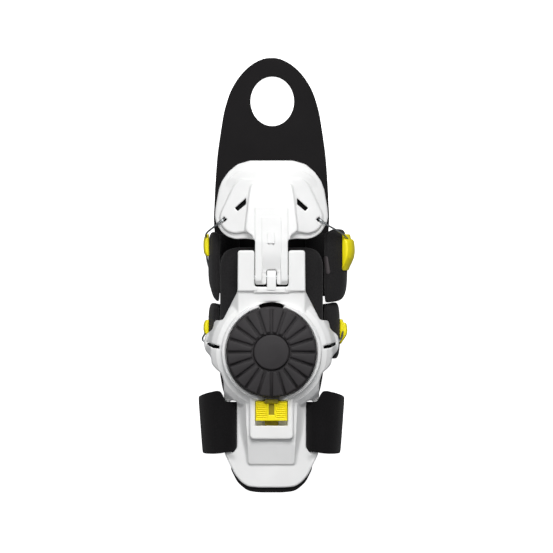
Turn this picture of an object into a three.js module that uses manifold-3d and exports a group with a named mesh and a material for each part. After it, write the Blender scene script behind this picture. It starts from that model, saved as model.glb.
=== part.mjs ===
// A cable-tightened wrist guard for the left arm, lying palm side down.
// Millimetres: +Z away from the palm, +Y towards the fingers, +X towards the thumb. The underside of the palm
// tongue is Z = 0, and X = 0 is the middle of the frame.
import * as THREE from "three";
import { mergeVertices } from "three/addons/utils/BufferGeometryUtils.js";
import Module from "manifold-3d";

const wasm = await Module();
wasm.setup();

// Clearance between pieces
const GAP = 0.3;

// The forearm arch, a cylinder along Y that the liner and the frame share
const ARCH_AXIS_Z = -18;
const LINER_INNER_R = 58;
const LINER_OUTER_R = 63;
const SHELL_INNER_R = LINER_OUTER_R + GAP;
const SHELL_OUTER_R = SHELL_INNER_R + 3;
const HORN_OUTER_R = SHELL_OUTER_R + 3.2;
const SPINE_R = 73.5;
const ARCH_SIDES = 48;
const CORNER_SEGMENTS = 2;

// The hand arch that the plate and its pad share
const HAND_AXIS_Z = -25.3;
const PLATE_INNER_R = 75;
const PLATE_OUTER_R = PLATE_INNER_R + 2.8;
const PLATFORM_R = PLATE_OUTER_R + 2.4;
const HAND_PAD_OUTER_R = PLATE_INNER_R - GAP;
const HAND_PAD_INNER_R = HAND_PAD_OUTER_R - 3.6;

// The wrist hinge, along X
const HINGE_Y = -2.1;
const HINGE_Z = 55.5;
const PIN_R = 1.5;
const PIN_HALF_LENGTH = 19;
const BARREL_R = 5;
const KNUCKLE_R = 4.6;
const KNUCKLE_HALF_WIDTH = 3;
const HINGE_SIDE_GAP = 0.4;
const NOTCH_FRONT_Y = 2.9;
const ARM_HALF_WIDTH = 10.8;
const CHEEK_INNER_X = ARM_HALF_WIDTH + HINGE_SIDE_GAP;
const CHEEK_TOP_Z = 60;
const NECK_TOP_Z = 57.6;
const RECESS_BACK_Y = -8.4;

// The dial and its ring
const DIAL_Y = -51.4;
const DIAL_R = 30.3;
const DIAL_BASE_Z = 58.8;
const DIAL_TOP_Z = 70.2;
const DIAL_RIM_Z = DIAL_TOP_Z - 3.2;
const DIAL_GROOVES = 20;
const DIAL_SIDES = 40;
const DIAL_CLEARANCE = 0.6;
const RING_INNER_R = DIAL_R + DIAL_CLEARANCE;
const RING_OUTER_R = RING_INNER_R + 1.8;
const RING_FOOT_R = RING_OUTER_R + 4.9;
const RING_TOP_Z = DIAL_BASE_Z + 1.7;
const RING_FOOT_Z = 41;
const CAP_R = 11.6;
const CAP_SEAT_Z = DIAL_TOP_Z - 4;
const CAP_WELL_R = CAP_R + 0.4;
const SPINDLE_R = 4;
const SPOOL_CHAMBER_R = DIAL_R - 2.3;
const SPOOL_CHAMBER_ROOF = 3.4;

// The latch housing and its catch
const HOUSING_HALF_WIDTH = 14.3;
const HOUSING_TOP_Z = 58;
const HOUSING_WALL = 8.8;
const WINDOW_HALF_WIDTH = 10.7;
const WINDOW_FRONT_Y = DIAL_Y - RING_OUTER_R + 0.7;
const WINDOW_BACK_Y = WINDOW_FRONT_Y - 16.4;
const WINDOW_FLOOR_Z = 51;
const LATCH_FRONT_Y = WINDOW_FRONT_Y - GAP;
const LATCH_BACK_Y = LATCH_FRONT_Y - 12.9;
const LATCH_TOP_Z = 59.6;
const FLANGE_TOP_Z = 53.6;
const FLANGE_REACH = 1.6;
const RAIL_HALF_WIDTH = 4.5;
const RAIL_FRONT_Y = DIAL_Y - DIAL_R - DIAL_CLEARANCE;
const RAIL_BACK_Y = WINDOW_BACK_Y - 3.6;
const RAIL_TRAVEL_ROOM = 3.6;
const GRIP_RIBS = 6;
const GRIP_PITCH = 2;

// The strap and the slots it passes through
const SLOT_INNER_X = 22.8;
const SLOT_OUTER_X = 27.3;
const SLOT_FRONT_Y = -83.6;
const SLOT_BACK_Y = -117.6;
const STRAP_THICKNESS = 2.2;
const STRAP_ROWS = 32;

// Cables and the palm sheet
const CABLE_R = 0.7;
const CABLE_BORE_R = CABLE_R + 0.5;
const SHEET_THICKNESS = 1.8;
const FINGER_HOLE = { x: 0.5, y: 114.4, halfWidth: 14.4, halfLength: 16.3 };

// Right half of each outline, front to back: half-width, Y
const FRAME_HALF = [
  [22.1, 15.6],
  [22.3, -11.4],
  [32, -30.4],
  [37.6, -30.6],
  [38.7, -36.4],
  [43.9, -40.5],
  [44.6, -45.6],
  [43.9, -50.3],
  [39.9, -54.5],
  [39.3, -59.5],
  [33.3, -65.1],
  [31.5, -70.6],
  [31.5, -83.6],
  [31.3, -118.6],
  [27.9, -125.3],
  [25.1, -130.8],
  [20.5, -137.3],
  [14.9, -140.8],
  [7.6, -141.5],
];
const HORN = [
  [31.2, -33.4],
  [36.4, -33.2],
  [37.5, -38],
  [42.6, -41.6],
  [43.3, -45.6],
  [42.7, -49.6],
  [38.6, -53.4],
  [31.2, -54],
];
const SPINE_FOOT_HALF = [
  [22.5, -78],
  [19.6, -92],
  [17.6, -104],
  [16.8, -116],
  [16.2, -125],
];
const SPINE_CREST_HALF = [
  [19.5, -78],
  [16.8, -92],
  [15.2, -104],
  [14.4, -116],
  [13.4, -121.5],
];
const PLATE_HALF = [
  [14.1, 74.7],
  [22.4, 72.3],
  [28.3, 67.4],
  [32.7, 61.2],
  [34.8, 55.4],
  [36.8, 43.9],
  [37.3, 38],
  [36.3, 33],
  [32.4, 27.2],
  [28.6, 24.4],
  [23.6, 23],
];
const PLATFORM_HALF = [
  [21.4, 61],
  [26.5, 52],
  [31.2, 41],
  [32.6, 35.5],
  [29.5, 29.8],
  [24, 27.2],
  [12, 27.2],
];
const HAND_PAD_HALF = [
  [13.7, 73.2],
  [21.6, 70.9],
  [27.2, 66.3],
  [31.3, 60.5],
  [33.3, 55],
  [35.3, 43.7],
  [35.8, 38],
  [34.9, 33.7],
  [31.5, 28.5],
  [28, 25.8],
  [23.4, 24.5],
];
const LINER_HALF = [
  [30, 17.5],
  [33, 13],
  [33, -30],
  [34.5, -55],
  [34, -66],
  [32.2, -76],
  [30.5, -81],
  [21.6, -84.4],
  [21.6, -117],
  [26, -122],
  [26.8, -128],
  [22, -137.5],
  [15.5, -142.6],
  [8, -143.5],
];
const TONGUE_HALF = [
  [5.6, 142.5],
  [11.9, 139.5],
  [17.2, 135.3],
  [21.3, 130.7],
  [24.6, 125.8],
  [27.2, 120.8],
  [29.1, 115.6],
  [31.5, 107],
  [33.2, 97.1],
  [35.9, 77.5],
  [37.7, 49.4],
  [38.1, 33],
  [36, 18],
  [31, 6],
  [22, -3],
  [12, -6],
];

// The spine of the hand plate and its arm, front to back: Y, half-width, underside Z, top Z
const ARM_ROWS = [
  [71.5, 13.4, 44, 54.2],
  [62, 14.2, 44, 55.6],
  [48, 14.3, 44, 57.6],
  [34, 13, 45, 59.2],
  [25, 11.2, 48, 60],
  [21, ARM_HALF_WIDTH, 50.6, HINGE_Z + BARREL_R],
  [HINGE_Y, ARM_HALF_WIDTH, HINGE_Z - BARREL_R, HINGE_Z + BARREL_R],
];

// Padded walls, from the back of the hand round to the palm: X, Z, back Y, front Y, thickness
const HAND_WING_RIGHT = [
  [36.8, 33, -17, 28, 4.4],
  [40.6, 29.8, -17.8, 29.4, 7],
  [44.2, 25, -17, 29.7, 9],
  [45.6, 18.5, -14.5, 29.2, 9],
  [44.6, 11.5, -14.5, 28.2, 8.4],
  [39.8, 6.3, -15, 27.2, 6.2],
  [32, 4.5, -14.4, 26.4, 4.4],
  [22.5, 4.4, -13, 25.6, 4.2],
];
const HAND_WING_LEFT = [
  [-35.8, 33, -17.2, 26.8, 3.6],
  [-37, 30.4, -15, 27.6, 5],
  [-37.7, 26, -11.5, 27.8, 7.2],
  [-38, 19, -9.5, 27.6, 7.6],
  [-37.4, 12, -10.5, 27, 7.2],
  [-34.4, 6.4, -12.5, 26.4, 5.8],
  [-29, 4.5, -14.4, 26, 4.4],
  [-21, 4.4, -13, 25.6, 4.2],
];
const WRIST_WING_RIGHT = [
  [35.8, 30.4, -53.5, -21.5, 4.2],
  [38.6, 26.8, -55, -19.5, 6],
  [40.7, 22, -55.8, -18.8, 8],
  [41, 16, -55.8, -18.8, 8],
  [39, 9.8, -55, -19.2, 7.4],
  [33, 5.4, -54, -20, 5.8],
  [25, 4.3, -52.5, -21, 4.4],
  [14.5, 4.2, -51, -22.5, 4.2],
];
const WRIST_WING_LEFT = [
  [-36, 30.4, -53.5, -21.5, 3.6],
  [-37, 26.8, -55, -19.8, 5.4],
  [-37.9, 22, -55.6, -19.2, 7.2],
  [-37.9, 16, -55.6, -19.2, 7.4],
  [-36.2, 9.8, -55, -19.6, 7],
  [-31.2, 5.4, -54, -20.4, 5.6],
  [-24, 4.3, -52.5, -21, 4.4],
  [-14.5, 4.2, -51, -22.5, 4.2],
];

// Right half of the strap, from its inner end, up through the slot, over the bar and down to the middle
// underneath: X, Z, back Y, front Y, thickness
const STRAP_HALF = [
  [38.6, 29.6, -111, -91, STRAP_THICKNESS],
  [34.2, 33.2, -113, -88.5, STRAP_THICKNESS],
  [30.4, 35.7, -114.6, -86.4, STRAP_THICKNESS],
  [27, 37.5, -116.4, -85.2, STRAP_THICKNESS],
  [25.1, 39.4, -117, -84.6, STRAP_THICKNESS],
  [25.1, 42.2, -117, -84.4, STRAP_THICKNESS],
  [27, 44, -117, -84.3, STRAP_THICKNESS],
  [30.4, 43.1, -117.6, -83.4, STRAP_THICKNESS],
  [33.8, 41, -118.2, -77.4, STRAP_THICKNESS],
  [38.6, 37.6, -118.6, -77.8, STRAP_THICKNESS],
  [42.8, 32.6, -118.6, -79.2, STRAP_THICKNESS],
  [45.2, 26, -118.4, -80.4, STRAP_THICKNESS],
  [45.8, 19, -118, -81.4, STRAP_THICKNESS],
  [44.6, 12, -118, -82.6, STRAP_THICKNESS],
  [41, 5.8, -118, -84, STRAP_THICKNESS],
  [35, 2.2, -118, -84.6, STRAP_THICKNESS],
  [28, 1.3, -118, -84.6, STRAP_THICKNESS],
  [14, 1.1, -118, -84.6, STRAP_THICKNESS],
];

const WHITE = new THREE.MeshStandardMaterial({ color: "#f1f1ef", roughness: 0.35 });
const CHARCOAL = new THREE.MeshStandardMaterial({ color: "#3a3639", roughness: 0.6 });
const YELLOW = new THREE.MeshStandardMaterial({ color: "#f0dc1e", roughness: 0.4 });
const BLACK = new THREE.MeshStandardMaterial({ color: "#1b1a1b", roughness: 0.95 });
const STEEL = new THREE.MeshStandardMaterial({ color: "#b9bcbf", roughness: 0.35, metalness: 1 });

const mirrorX = ([x, ...rest]) => [-x, ...rest];

// A closed outline from its right half.
const mirrored = (half) => [...half, ...half.map(mirrorX).reverse()];

const rectangle = (x0, x1, y0, y1) => [
  [x1, y1],
  [x1, y0],
  [x0, y0],
  [x0, y1],
];

// An upright rectangle facing along Y, centred on X = 0.
const rectangleXZ = (halfWidth, y, z0, z1) => [
  [-halfWidth, y, z0],
  [halfWidth, y, z0],
  [halfWidth, y, z1],
  [-halfWidth, y, z1],
];

// three.js geometry as a solid, faces outwards whichever way its profile ran.
function solid(geometry) {
  const bare = new THREE.BufferGeometry().setAttribute("position", geometry.getAttribute("position"));
  bare.setIndex(geometry.index);
  const merged = mergeVertices(bare, 1e-4);
  const triVerts = new Uint32Array(merged.index.array);
  const vertProperties = merged.attributes.position.array;
  const made = new wasm.Manifold(new wasm.Mesh({ numProp: 3, vertProperties, triVerts }));
  if (made.volume() > 0) return made;
  return new wasm.Manifold(new wasm.Mesh({ numProp: 3, vertProperties, triVerts: triVerts.reverse() }));
}

// A solid as a flat-shaded three.js mesh.
function piece(name, shape, material) {
  const mesh = shape.getMesh();
  const geometry = new THREE.BufferGeometry()
    .setAttribute("position", new THREE.BufferAttribute(new Float32Array(mesh.vertProperties), 3))
    .setIndex(new THREE.BufferAttribute(new Uint32Array(mesh.triVerts), 1))
    .toNonIndexed();
  geometry.computeVertexNormals();
  const made = new THREE.Mesh(geometry, material);
  made.name = name;
  return made;
}

// An outline with its corners rounded, as a shape in the XY plane.
function roundedShape(points, radius) {
  const corners = points.map(([x, y]) => new THREE.Vector2(x, y));
  const shape = new THREE.Shape();
  corners.forEach((corner, i) => {
    const cutTowards = (other) => {
      const reach = Math.min(radius, 0.45 * corner.distanceTo(other));
      return corner.clone().add(other.clone().sub(corner).setLength(reach));
    };
    const start = cutTowards(corners.at(i - 1));
    const end = cutTowards(corners[(i + 1) % corners.length]);
    if (i === 0) shape.moveTo(start.x, start.y);
    else shape.lineTo(start.x, start.y);
    shape.quadraticCurveTo(corner.x, corner.y, end.x, end.y);
  });
  shape.closePath();
  return shape;
}

// A block with the given outline between two heights, its edges bevelled where asked.
function prism(points, z0, z1, radius = 0, bevel = 0) {
  const shape = radius
    ? roundedShape(points, radius)
    : new THREE.Shape(points.map(([x, y]) => new THREE.Vector2(x, y)));
  const geometry = new THREE.ExtrudeGeometry(shape, {
    depth: z1 - z0 - 2 * bevel,
    bevelEnabled: bevel > 0,
    bevelThickness: bevel,
    bevelSize: bevel,
    bevelOffset: -bevel,
    bevelSegments: 1,
    curveSegments: CORNER_SEGMENTS,
  });
  return solid(geometry.translate(0, 0, z0 + bevel));
}

// A closed skin over rings that have the same number of points each.
function loft(rings) {
  const perRing = rings[0].length;
  const middle = (ring) => [0, 1, 2].map((axis) => ring.reduce((sum, p) => sum + p[axis], 0) / perRing);
  const points = [...rings.flat(), middle(rings[0]), middle(rings.at(-1))];
  const firstMiddle = rings.length * perRing;
  const lastRing = firstMiddle - perRing;
  const faces = [];
  for (let k = 0; k < perRing; k++) {
    const next = (k + 1) % perRing;
    for (let i = 0; i < lastRing; i += perRing) {
      const near = i + k;
      const far = i + next;
      faces.push(near, far, far + perRing, near, far + perRing, near + perRing);
    }
    faces.push(firstMiddle, next, k, firstMiddle + 1, lastRing + k, lastRing + next);
  }
  const geometry = new THREE.BufferGeometry();
  geometry.setAttribute("position", new THREE.BufferAttribute(new Float32Array(points.flat()), 3));
  geometry.setIndex(faces);
  return solid(geometry);
}

function cylinderY(radius, axisZ, y0, y1, sides = ARCH_SIDES) {
  const geometry = new THREE.CylinderGeometry(radius, radius, y1 - y0, sides);
  return solid(geometry.translate(0, (y0 + y1) / 2, axisZ));
}

function cylinderX(radius, x0, x1, sides = 32) {
  const geometry = new THREE.CylinderGeometry(radius, radius, x1 - x0, sides).rotateZ(Math.PI / 2);
  return solid(geometry.translate((x0 + x1) / 2, HINGE_Y, HINGE_Z));
}

function cylinderZ(topRadius, footRadius, z0, z1, sides = DIAL_SIDES) {
  const geometry = new THREE.CylinderGeometry(topRadius, footRadius, z1 - z0, sides).rotateX(Math.PI / 2);
  return solid(geometry.translate(0, DIAL_Y, (z0 + z1) / 2));
}

const join = (...shapes) => wasm.Manifold.union(shapes);
const bothSides = (shape) => join(shape, shape.mirror([1, 0, 0]));

// The part of an arch above an outline: between two radii about an axis along Y.
function arched(outline, innerR, outerR, axisZ, floorZ, radius = 2) {
  const ys = outline.map(([, y]) => y);
  const y0 = Math.min(...ys) - 1;
  const y1 = Math.max(...ys) + 1;
  return prism(outline, floorZ, axisZ + outerR + 1, radius)
    .intersect(cylinderY(outerR, axisZ, y0, y1))
    .subtract(cylinderY(innerR, axisZ, y0 - 1, y1 + 1));
}

// Rows of a band, resampled along a smooth curve through them. Each row is X, Z, back Y, front Y, thickness.
function smoothRows(rows, count) {
  const places = new THREE.CatmullRomCurve3(rows.map(([x, z]) => new THREE.Vector3(x, 0, z)), false, "centripetal");
  const spans = new THREE.CatmullRomCurve3(
    rows.map(([, , y0, y1, thickness]) => new THREE.Vector3(y0, y1, thickness)),
    false,
    "catmullrom",
  );
  return Array.from({ length: count }, (_, i) => {
    const t = i / (count - 1);
    const place = places.getPoint(t);
    const span = spans.getPoint(t);
    return [place.x, place.z, span.x, span.y, span.z];
  });
}

// The direction out of a band at one of its rows, in the XZ plane, on the side away from the arm.
function outwardAt(rows, i, side) {
  const [x0, z0] = rows[Math.max(i - 1, 0)];
  const [x1, z1] = rows[Math.min(i + 1, rows.length - 1)];
  const run = new THREE.Vector2(x1 - x0, z1 - z0).normalize();
  return side > 0 ? [-run.y, run.x] : [run.y, -run.x];
}

// A band through its rows with a section between a rectangle and an ellipse: a higher power is squarer.
function band(rows, power, sectionPoints) {
  const soften = (value) => Math.sign(value) * Math.abs(value) ** (2 / power);
  const rings = rows.map(([x, z, y0, y1, thickness], i) => {
    const [nx, nz] = outwardAt(rows, i, 1);
    return Array.from({ length: sectionPoints }, (_, k) => {
      const angle = (2 * Math.PI * (k + 0.5)) / sectionPoints;
      const across = (soften(Math.sin(angle)) * thickness) / 2;
      const along = (y0 + y1) / 2 + (soften(Math.cos(angle)) * (y1 - y0)) / 2;
      return [x + nx * across, along, z + nz * across];
    });
  });
  return loft(rings);
}

// Rows of a guide lying on the outside of a wing, between two of its smoothed rows.
function guideRows(wing, side, from, to, y0, y1, thickness) {
  return wing.slice(from, to + 1).map(([x, z, , , wingThickness], i) => {
    const [nx, nz] = outwardAt(wing, from + i, side);
    const lift = wingThickness / 2 + GAP + thickness / 2;
    return [x + nx * lift, z + nz * lift, y0, y1, thickness];
  });
}

// A point on the outside of a wing, raised off it.
function onWing(wing, side, i, y, lift) {
  const [x, z, , , thickness] = wing[i];
  const [nx, nz] = outwardAt(wing, i, side);
  const reach = thickness / 2 + lift;
  return [x + nx * reach, y, z + nz * reach];
}

// A round rod or bore along a smooth line through points. A bore can run on straight past both ends.
function cord(points, radius, steps, sides, overrun = 0) {
  const line = new THREE.CatmullRomCurve3(points.map((p) => new THREE.Vector3(...p)), false, "centripetal");
  const frames = line.computeFrenetFrames(steps);
  const ringAt = (i, shift) => {
    const middle = line.getPointAt(i / steps).addScaledVector(frames.tangents[i], shift);
    return Array.from({ length: sides }, (_, k) => {
      const angle = (2 * Math.PI * k) / sides;
      return middle
        .clone()
        .addScaledVector(frames.normals[i], radius * Math.cos(angle))
        .addScaledVector(frames.binormals[i], radius * Math.sin(angle))
        .toArray();
    });
  };
  const rings = Array.from({ length: steps + 1 }, (_, i) => ringAt(i, 0));
  if (overrun > 0) return loft([ringAt(0, -overrun), ...rings, ringAt(steps, overrun)]);
  return loft(rings);
}

// The soft walls, the guides on them and the cables, one set for each side of the hand.
const WING_ROWS = 15;
const handWings = { right: smoothRows(HAND_WING_RIGHT, WING_ROWS), left: smoothRows(HAND_WING_LEFT, WING_ROWS) };
const wristWings = { right: smoothRows(WRIST_WING_RIGHT, WING_ROWS), left: smoothRows(WRIST_WING_LEFT, WING_ROWS) };

// Guides: first and last wing row, back Y, front Y, thickness
const HAND_GUIDES = { right: [3, 8, 2.4, 26.4, 4.8], left: [3, 8, 11.6, 26.4, 3] };
const WRIST_GUIDES = { right: [4, 8, -46.2, -29.8, 4.8], left: [3, 7, -40.6, -30.2, 3] };

// A cable from the hole in the hand plate, through the hand guide, across under the palm to the other side,
// through the wrist guide and into the horn.
function cablePath(side, crossing) {
  const [start, end] = side > 0 ? ["right", "left"] : ["left", "right"];
  const hand = handWings[start];
  const wrist = wristWings[end];
  const handLift = GAP + HAND_GUIDES[start][4] / 2;
  const wristLift = GAP + WRIST_GUIDES[end][4] / 2;
  const lowLift = CABLE_R + GAP;
  const handY = side > 0 ? [22, 15, 8] : [22, 18, 13];
  return [
    [side * 31, 36.6, 43.4],
    [side * 31.2, 36.4, 46.2],
    [side * 34.2, 33.8, 46.8],
    onWing(hand, side, 2, 26.6, handLift + 2.2),
    onWing(hand, side, 4, handY[0], handLift),
    onWing(hand, side, 5, handY[1], handLift),
    onWing(hand, side, 7, handY[2], handLift),
    onWing(hand, side, 9, 0, lowLift + 0.8),
    [side * 32, -8.4, 1.2],
    [side * 18, -12, 1.2],
    [0, -15.5, crossing],
    [-side * 18, -19.4, 1.2],
    [-side * 30, -23.4, 1.2],
    onWing(wrist, -side, 9, -28, lowLift + 0.7),
    onWing(wrist, -side, 7, -33.5, wristLift),
    onWing(wrist, -side, 5, -35.6, wristLift),
    onWing(wrist, -side, 4, -38, wristLift),
    [-side * 45.4, -43.4, 30.6],
    [-side * 42.2, -46, 32.4],
    [-side * 37.6, -46.6, 34.6],
  ];
}

const cables = { right: cablePath(1, 1.1), left: cablePath(-1, 3) };
const CABLE_STEPS = 42;
const BORE_OVERRUN = 2;
const cableBores = join(
  ...Object.values(cables).map((path) => cord(path, CABLE_BORE_R, CABLE_STEPS, 8, BORE_OVERRUN)),
);

function forearmFrame() {
  const shell = prism(mirrored(FRAME_HALF), 20, 50, 2.2)
    .intersect(cylinderY(SHELL_OUTER_R, ARCH_AXIS_Z, -150, 20));
  const horn = arched(HORN, SHELL_INNER_R, HORN_OUTER_R, ARCH_AXIS_Z, 20);
  const cheek = prism(rectangle(CHEEK_INNER_X, 22.1, -11.4, 15.6), 40, CHEEK_TOP_Z, 1.6, 1);
  const neck = loft([
    [[22.2, -8.4, 40], [-22.2, -8.4, 40], [-31, -34, 40], [31, -34, 40]],
    [[21.4, -8.4, NECK_TOP_Z], [-21.4, -8.4, NECK_TOP_Z], [-22.6, -30, NECK_TOP_Z], [22.6, -30, NECK_TOP_Z]],
  ]);
  const lip = prism(rectangle(-12.6, 12.6, -12.6, RECESS_BACK_Y), NECK_TOP_Z - 1, NECK_TOP_Z + 1.1, 0, 0.8);
  const ring = cylinderZ(RING_OUTER_R, RING_FOOT_R, RING_FOOT_Z, RING_TOP_Z);
  const well = cylinderZ(RING_INNER_R, RING_INNER_R, DIAL_BASE_Z - GAP, RING_TOP_Z + 1);
  const housing = prism(
    rectangle(-HOUSING_HALF_WIDTH, HOUSING_HALF_WIDTH, WINDOW_BACK_Y - HOUSING_WALL, DIAL_Y - 20),
    40, HOUSING_TOP_Z, 3.3, 1,
  );
  const spineRing = (half, z) => mirrored(half).map(([x, y]) => [x, y, z]);
  const spine = loft([spineRing(SPINE_FOOT_HALF, 46), spineRing(SPINE_CREST_HALF, 58)])
    .intersect(cylinderY(SPINE_R, ARCH_AXIS_Z, -130, -70));
  const knuckle = join(
    cylinderX(KNUCKLE_R, -KNUCKLE_HALF_WIDTH, KNUCKLE_HALF_WIDTH),
    prism(
      rectangle(-KNUCKLE_HALF_WIDTH, KNUCKLE_HALF_WIDTH, -10, HINGE_Y), HINGE_Z - KNUCKLE_R, HINGE_Z + KNUCKLE_R,
    ),
  );
  const recess = prism(rectangle(-CHEEK_INNER_X, CHEEK_INNER_X, RECESS_BACK_Y, 20), 20, 80);
  const windowTop = prism(
    rectangle(-WINDOW_HALF_WIDTH, WINDOW_HALF_WIDTH, WINDOW_BACK_Y, WINDOW_FRONT_Y), WINDOW_FLOOR_Z, 80,
  );
  const flangeReach = WINDOW_HALF_WIDTH + FLANGE_REACH;
  const flangeGrooves = prism(
    rectangle(-flangeReach, flangeReach, WINDOW_BACK_Y, WINDOW_FRONT_Y), WINDOW_FLOOR_Z, FLANGE_TOP_Z + GAP,
  );
  const railHalfWidth = RAIL_HALF_WIDTH + GAP;
  const railChannel = prism(
    rectangle(-railHalfWidth, railHalfWidth, RAIL_BACK_Y - RAIL_TRAVEL_ROOM, WINDOW_FRONT_Y + 1), WINDOW_FLOOR_Z, FLANGE_TOP_Z + GAP,
  );
  const railNotch = prism(
    rectangle(-railHalfWidth, railHalfWidth, WINDOW_FRONT_Y - 1, DIAL_Y - DIAL_R + 0.3), WINDOW_FLOOR_Z, 80,
  );
  const slot = prism(rectangle(SLOT_INNER_X, SLOT_OUTER_X, SLOT_BACK_Y, SLOT_FRONT_Y), 20, 80, 1.2);
  const hornSlot = prism([[36.6, -45.2], [42, -46.6], [41.6, -48], [36.4, -46.6]], 33.4, 60);
  const pinBore = cylinderX(PIN_R + GAP, -PIN_HALF_LENGTH - GAP, PIN_HALF_LENGTH + GAP);
  const spoolChamber = cylinderZ(SPOOL_CHAMBER_R, SPOOL_CHAMBER_R, 30, DIAL_BASE_Z - SPOOL_CHAMBER_ROOF);
  const spindle = cylinderZ(SPINDLE_R, SPINDLE_R, DIAL_BASE_Z - 1, CAP_SEAT_Z - GAP, 40);
  return join(shell, bothSides(horn), bothSides(cheek), neck, lip, ring, housing, spine)
    .subtract(cylinderY(SHELL_INNER_R, ARCH_AXIS_Z, -150, 20))
    .subtract(recess)
    .add(knuckle)
    .subtract(join(well, spoolChamber, windowTop, flangeGrooves, railChannel, railNotch, pinBore))
    .subtract(join(bothSides(slot), bothSides(hornSlot), cableBores))
    .add(spindle);
}

function handPlate() {
  const plate = arched(mirrored(PLATE_HALF), PLATE_INNER_R, PLATE_OUTER_R, HAND_AXIS_Z, 30);
  const platform = arched(mirrored(PLATFORM_HALF), PLATE_INNER_R, PLATFORM_R, HAND_AXIS_Z, 30, 3);
  const arm = loft(
    ARM_ROWS.map(([y, halfWidth, z0, z1]) => [
      [-halfWidth, y, z0],
      [halfWidth, y, z0],
      [halfWidth, y, z1 - 1],
      [halfWidth - 1, y, z1],
      [1 - halfWidth, y, z1],
      [-halfWidth, y, z1 - 1],
    ]),
  ).subtract(cylinderY(PLATE_INNER_R, HAND_AXIS_Z, 22.5, 90));
  const barrel = cylinderX(BARREL_R, -ARM_HALF_WIDTH, ARM_HALF_WIDTH);
  const notchX = KNUCKLE_HALF_WIDTH + HINGE_SIDE_GAP;
  const notch = prism(rectangle(-notchX, notchX, -12, NOTCH_FRONT_Y), 40, 80);
  const pinBore = cylinderX(PIN_R + GAP, -20, 20);
  const button = prism(rectangle(-3.2, 3.2, 19, 28.5), 57, 61.6, 3, 0.6);
  const slot = prism([[24.4, 43.6], [20.5, 41.4], [15.9, 46.4], [15.9, 49.8]], 30, 80);
  return join(plate, platform, arm, barrel, button)
    .subtract(join(notch, pinBore, bothSides(slot), cableBores));
}

function dial() {
  const profile = [
    [SPINDLE_R + GAP, DIAL_BASE_Z],
    [DIAL_R, DIAL_BASE_Z],
    [DIAL_R, DIAL_RIM_Z - 1],
    [DIAL_R - 1.1, DIAL_RIM_Z],
    [0.73 * DIAL_R, DIAL_TOP_Z - 1.4],
    [CAP_WELL_R + 1.2, DIAL_TOP_Z - 0.4],
    [CAP_WELL_R + 1.2, DIAL_TOP_Z - 1.8],
    [CAP_WELL_R, DIAL_TOP_Z - 1.8],
    [CAP_WELL_R, CAP_SEAT_Z],
    [SPINDLE_R + GAP, CAP_SEAT_Z],
  ].map(([r, z]) => new THREE.Vector2(r, z));
  profile.push(profile[0].clone());
  const body = solid(new THREE.LatheGeometry(profile, DIAL_SIDES).rotateX(Math.PI / 2));
  const groove = loft([
    rectangleXZ(0.5, CAP_WELL_R + 0.6, DIAL_TOP_Z - 1.2, DIAL_TOP_Z + 1),
    rectangleXZ(0.9, DIAL_R + 1, DIAL_RIM_Z - 5, DIAL_TOP_Z + 1),
  ]);
  const grooves = Array.from({ length: DIAL_GROOVES }, (_, i) => groove.rotate([0, 0, (360 * i) / DIAL_GROOVES]));
  return body.subtract(join(...grooves)).translate([0, DIAL_Y, 0]);
}

function dialCap() {
  const profile = [
    [0, CAP_SEAT_Z + GAP],
    [CAP_R, CAP_SEAT_Z + GAP],
    [CAP_R, DIAL_TOP_Z - 0.2],
    [CAP_R - 0.8, DIAL_TOP_Z + 0.4],
    [0, DIAL_TOP_Z + 0.8],
  ].map(([r, z]) => new THREE.Vector2(r, z));
  return solid(new THREE.LatheGeometry(profile, 40).rotateX(Math.PI / 2)).translate([0, DIAL_Y, 0]);
}

function releaseLatch() {
  const halfWidth = WINDOW_HALF_WIDTH - GAP;
  const floor = WINDOW_FLOOR_Z + GAP;
  const block = prism(rectangle(-halfWidth, halfWidth, LATCH_BACK_Y, LATCH_FRONT_Y), floor, LATCH_TOP_Z, 0, 0.5);
  const flange = prism(
    rectangle(-halfWidth - FLANGE_REACH, halfWidth + FLANGE_REACH, LATCH_BACK_Y, LATCH_FRONT_Y), floor, FLANGE_TOP_Z,
  );
  const rail = prism(rectangle(-RAIL_HALF_WIDTH, RAIL_HALF_WIDTH, RAIL_BACK_Y, LATCH_FRONT_Y), floor, FLANGE_TOP_Z);
  const nose = prism(
    rectangle(-RAIL_HALF_WIDTH, RAIL_HALF_WIDTH, LATCH_FRONT_Y - 4, RAIL_FRONT_Y), floor, LATCH_TOP_Z + 1.6, 1.2, 0.8,
  );
  const window = prism(rectangle(-1.9, 1.9, -93, -86.4), floor + 3, 80);
  const ribs = Array.from({ length: GRIP_RIBS }, (_, i) => {
    const y = LATCH_BACK_Y + 1.4 + i * GRIP_PITCH;
    return prism(rectangle(-halfWidth - 1, -RAIL_HALF_WIDTH - 0.6, y, y + 0.8), LATCH_TOP_Z - 0.7, 80);
  });
  return join(block, flange, rail, nose).subtract(join(window, ...ribs.map(bothSides)));
}

function palmTongue() {
  const outline = [[0, 143.2], ...TONGUE_HALF, ...TONGUE_HALF.map(mirrorX).reverse()];
  const { x, y, halfWidth, halfLength } = FINGER_HOLE;
  const hole = new THREE.CylinderGeometry(1, 1, 10, 36).rotateX(Math.PI / 2).scale(halfWidth, halfLength, 1);
  return prism(outline, 0, SHEET_THICKNESS, 3).subtract(solid(hole.translate(x, y, 0)));
}

function forearmStrap() {
  const half = smoothRows(STRAP_HALF, STRAP_ROWS);
  const whole = [...half, ...half.map(mirrorX).reverse()];
  return band(whole, 8, 8);
}

const guide = (wing, side, [from, to, y0, y1, thickness]) =>
  band(guideRows(wing, side, from, to, y0, y1, thickness), 4, 12).subtract(cableBores);

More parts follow.
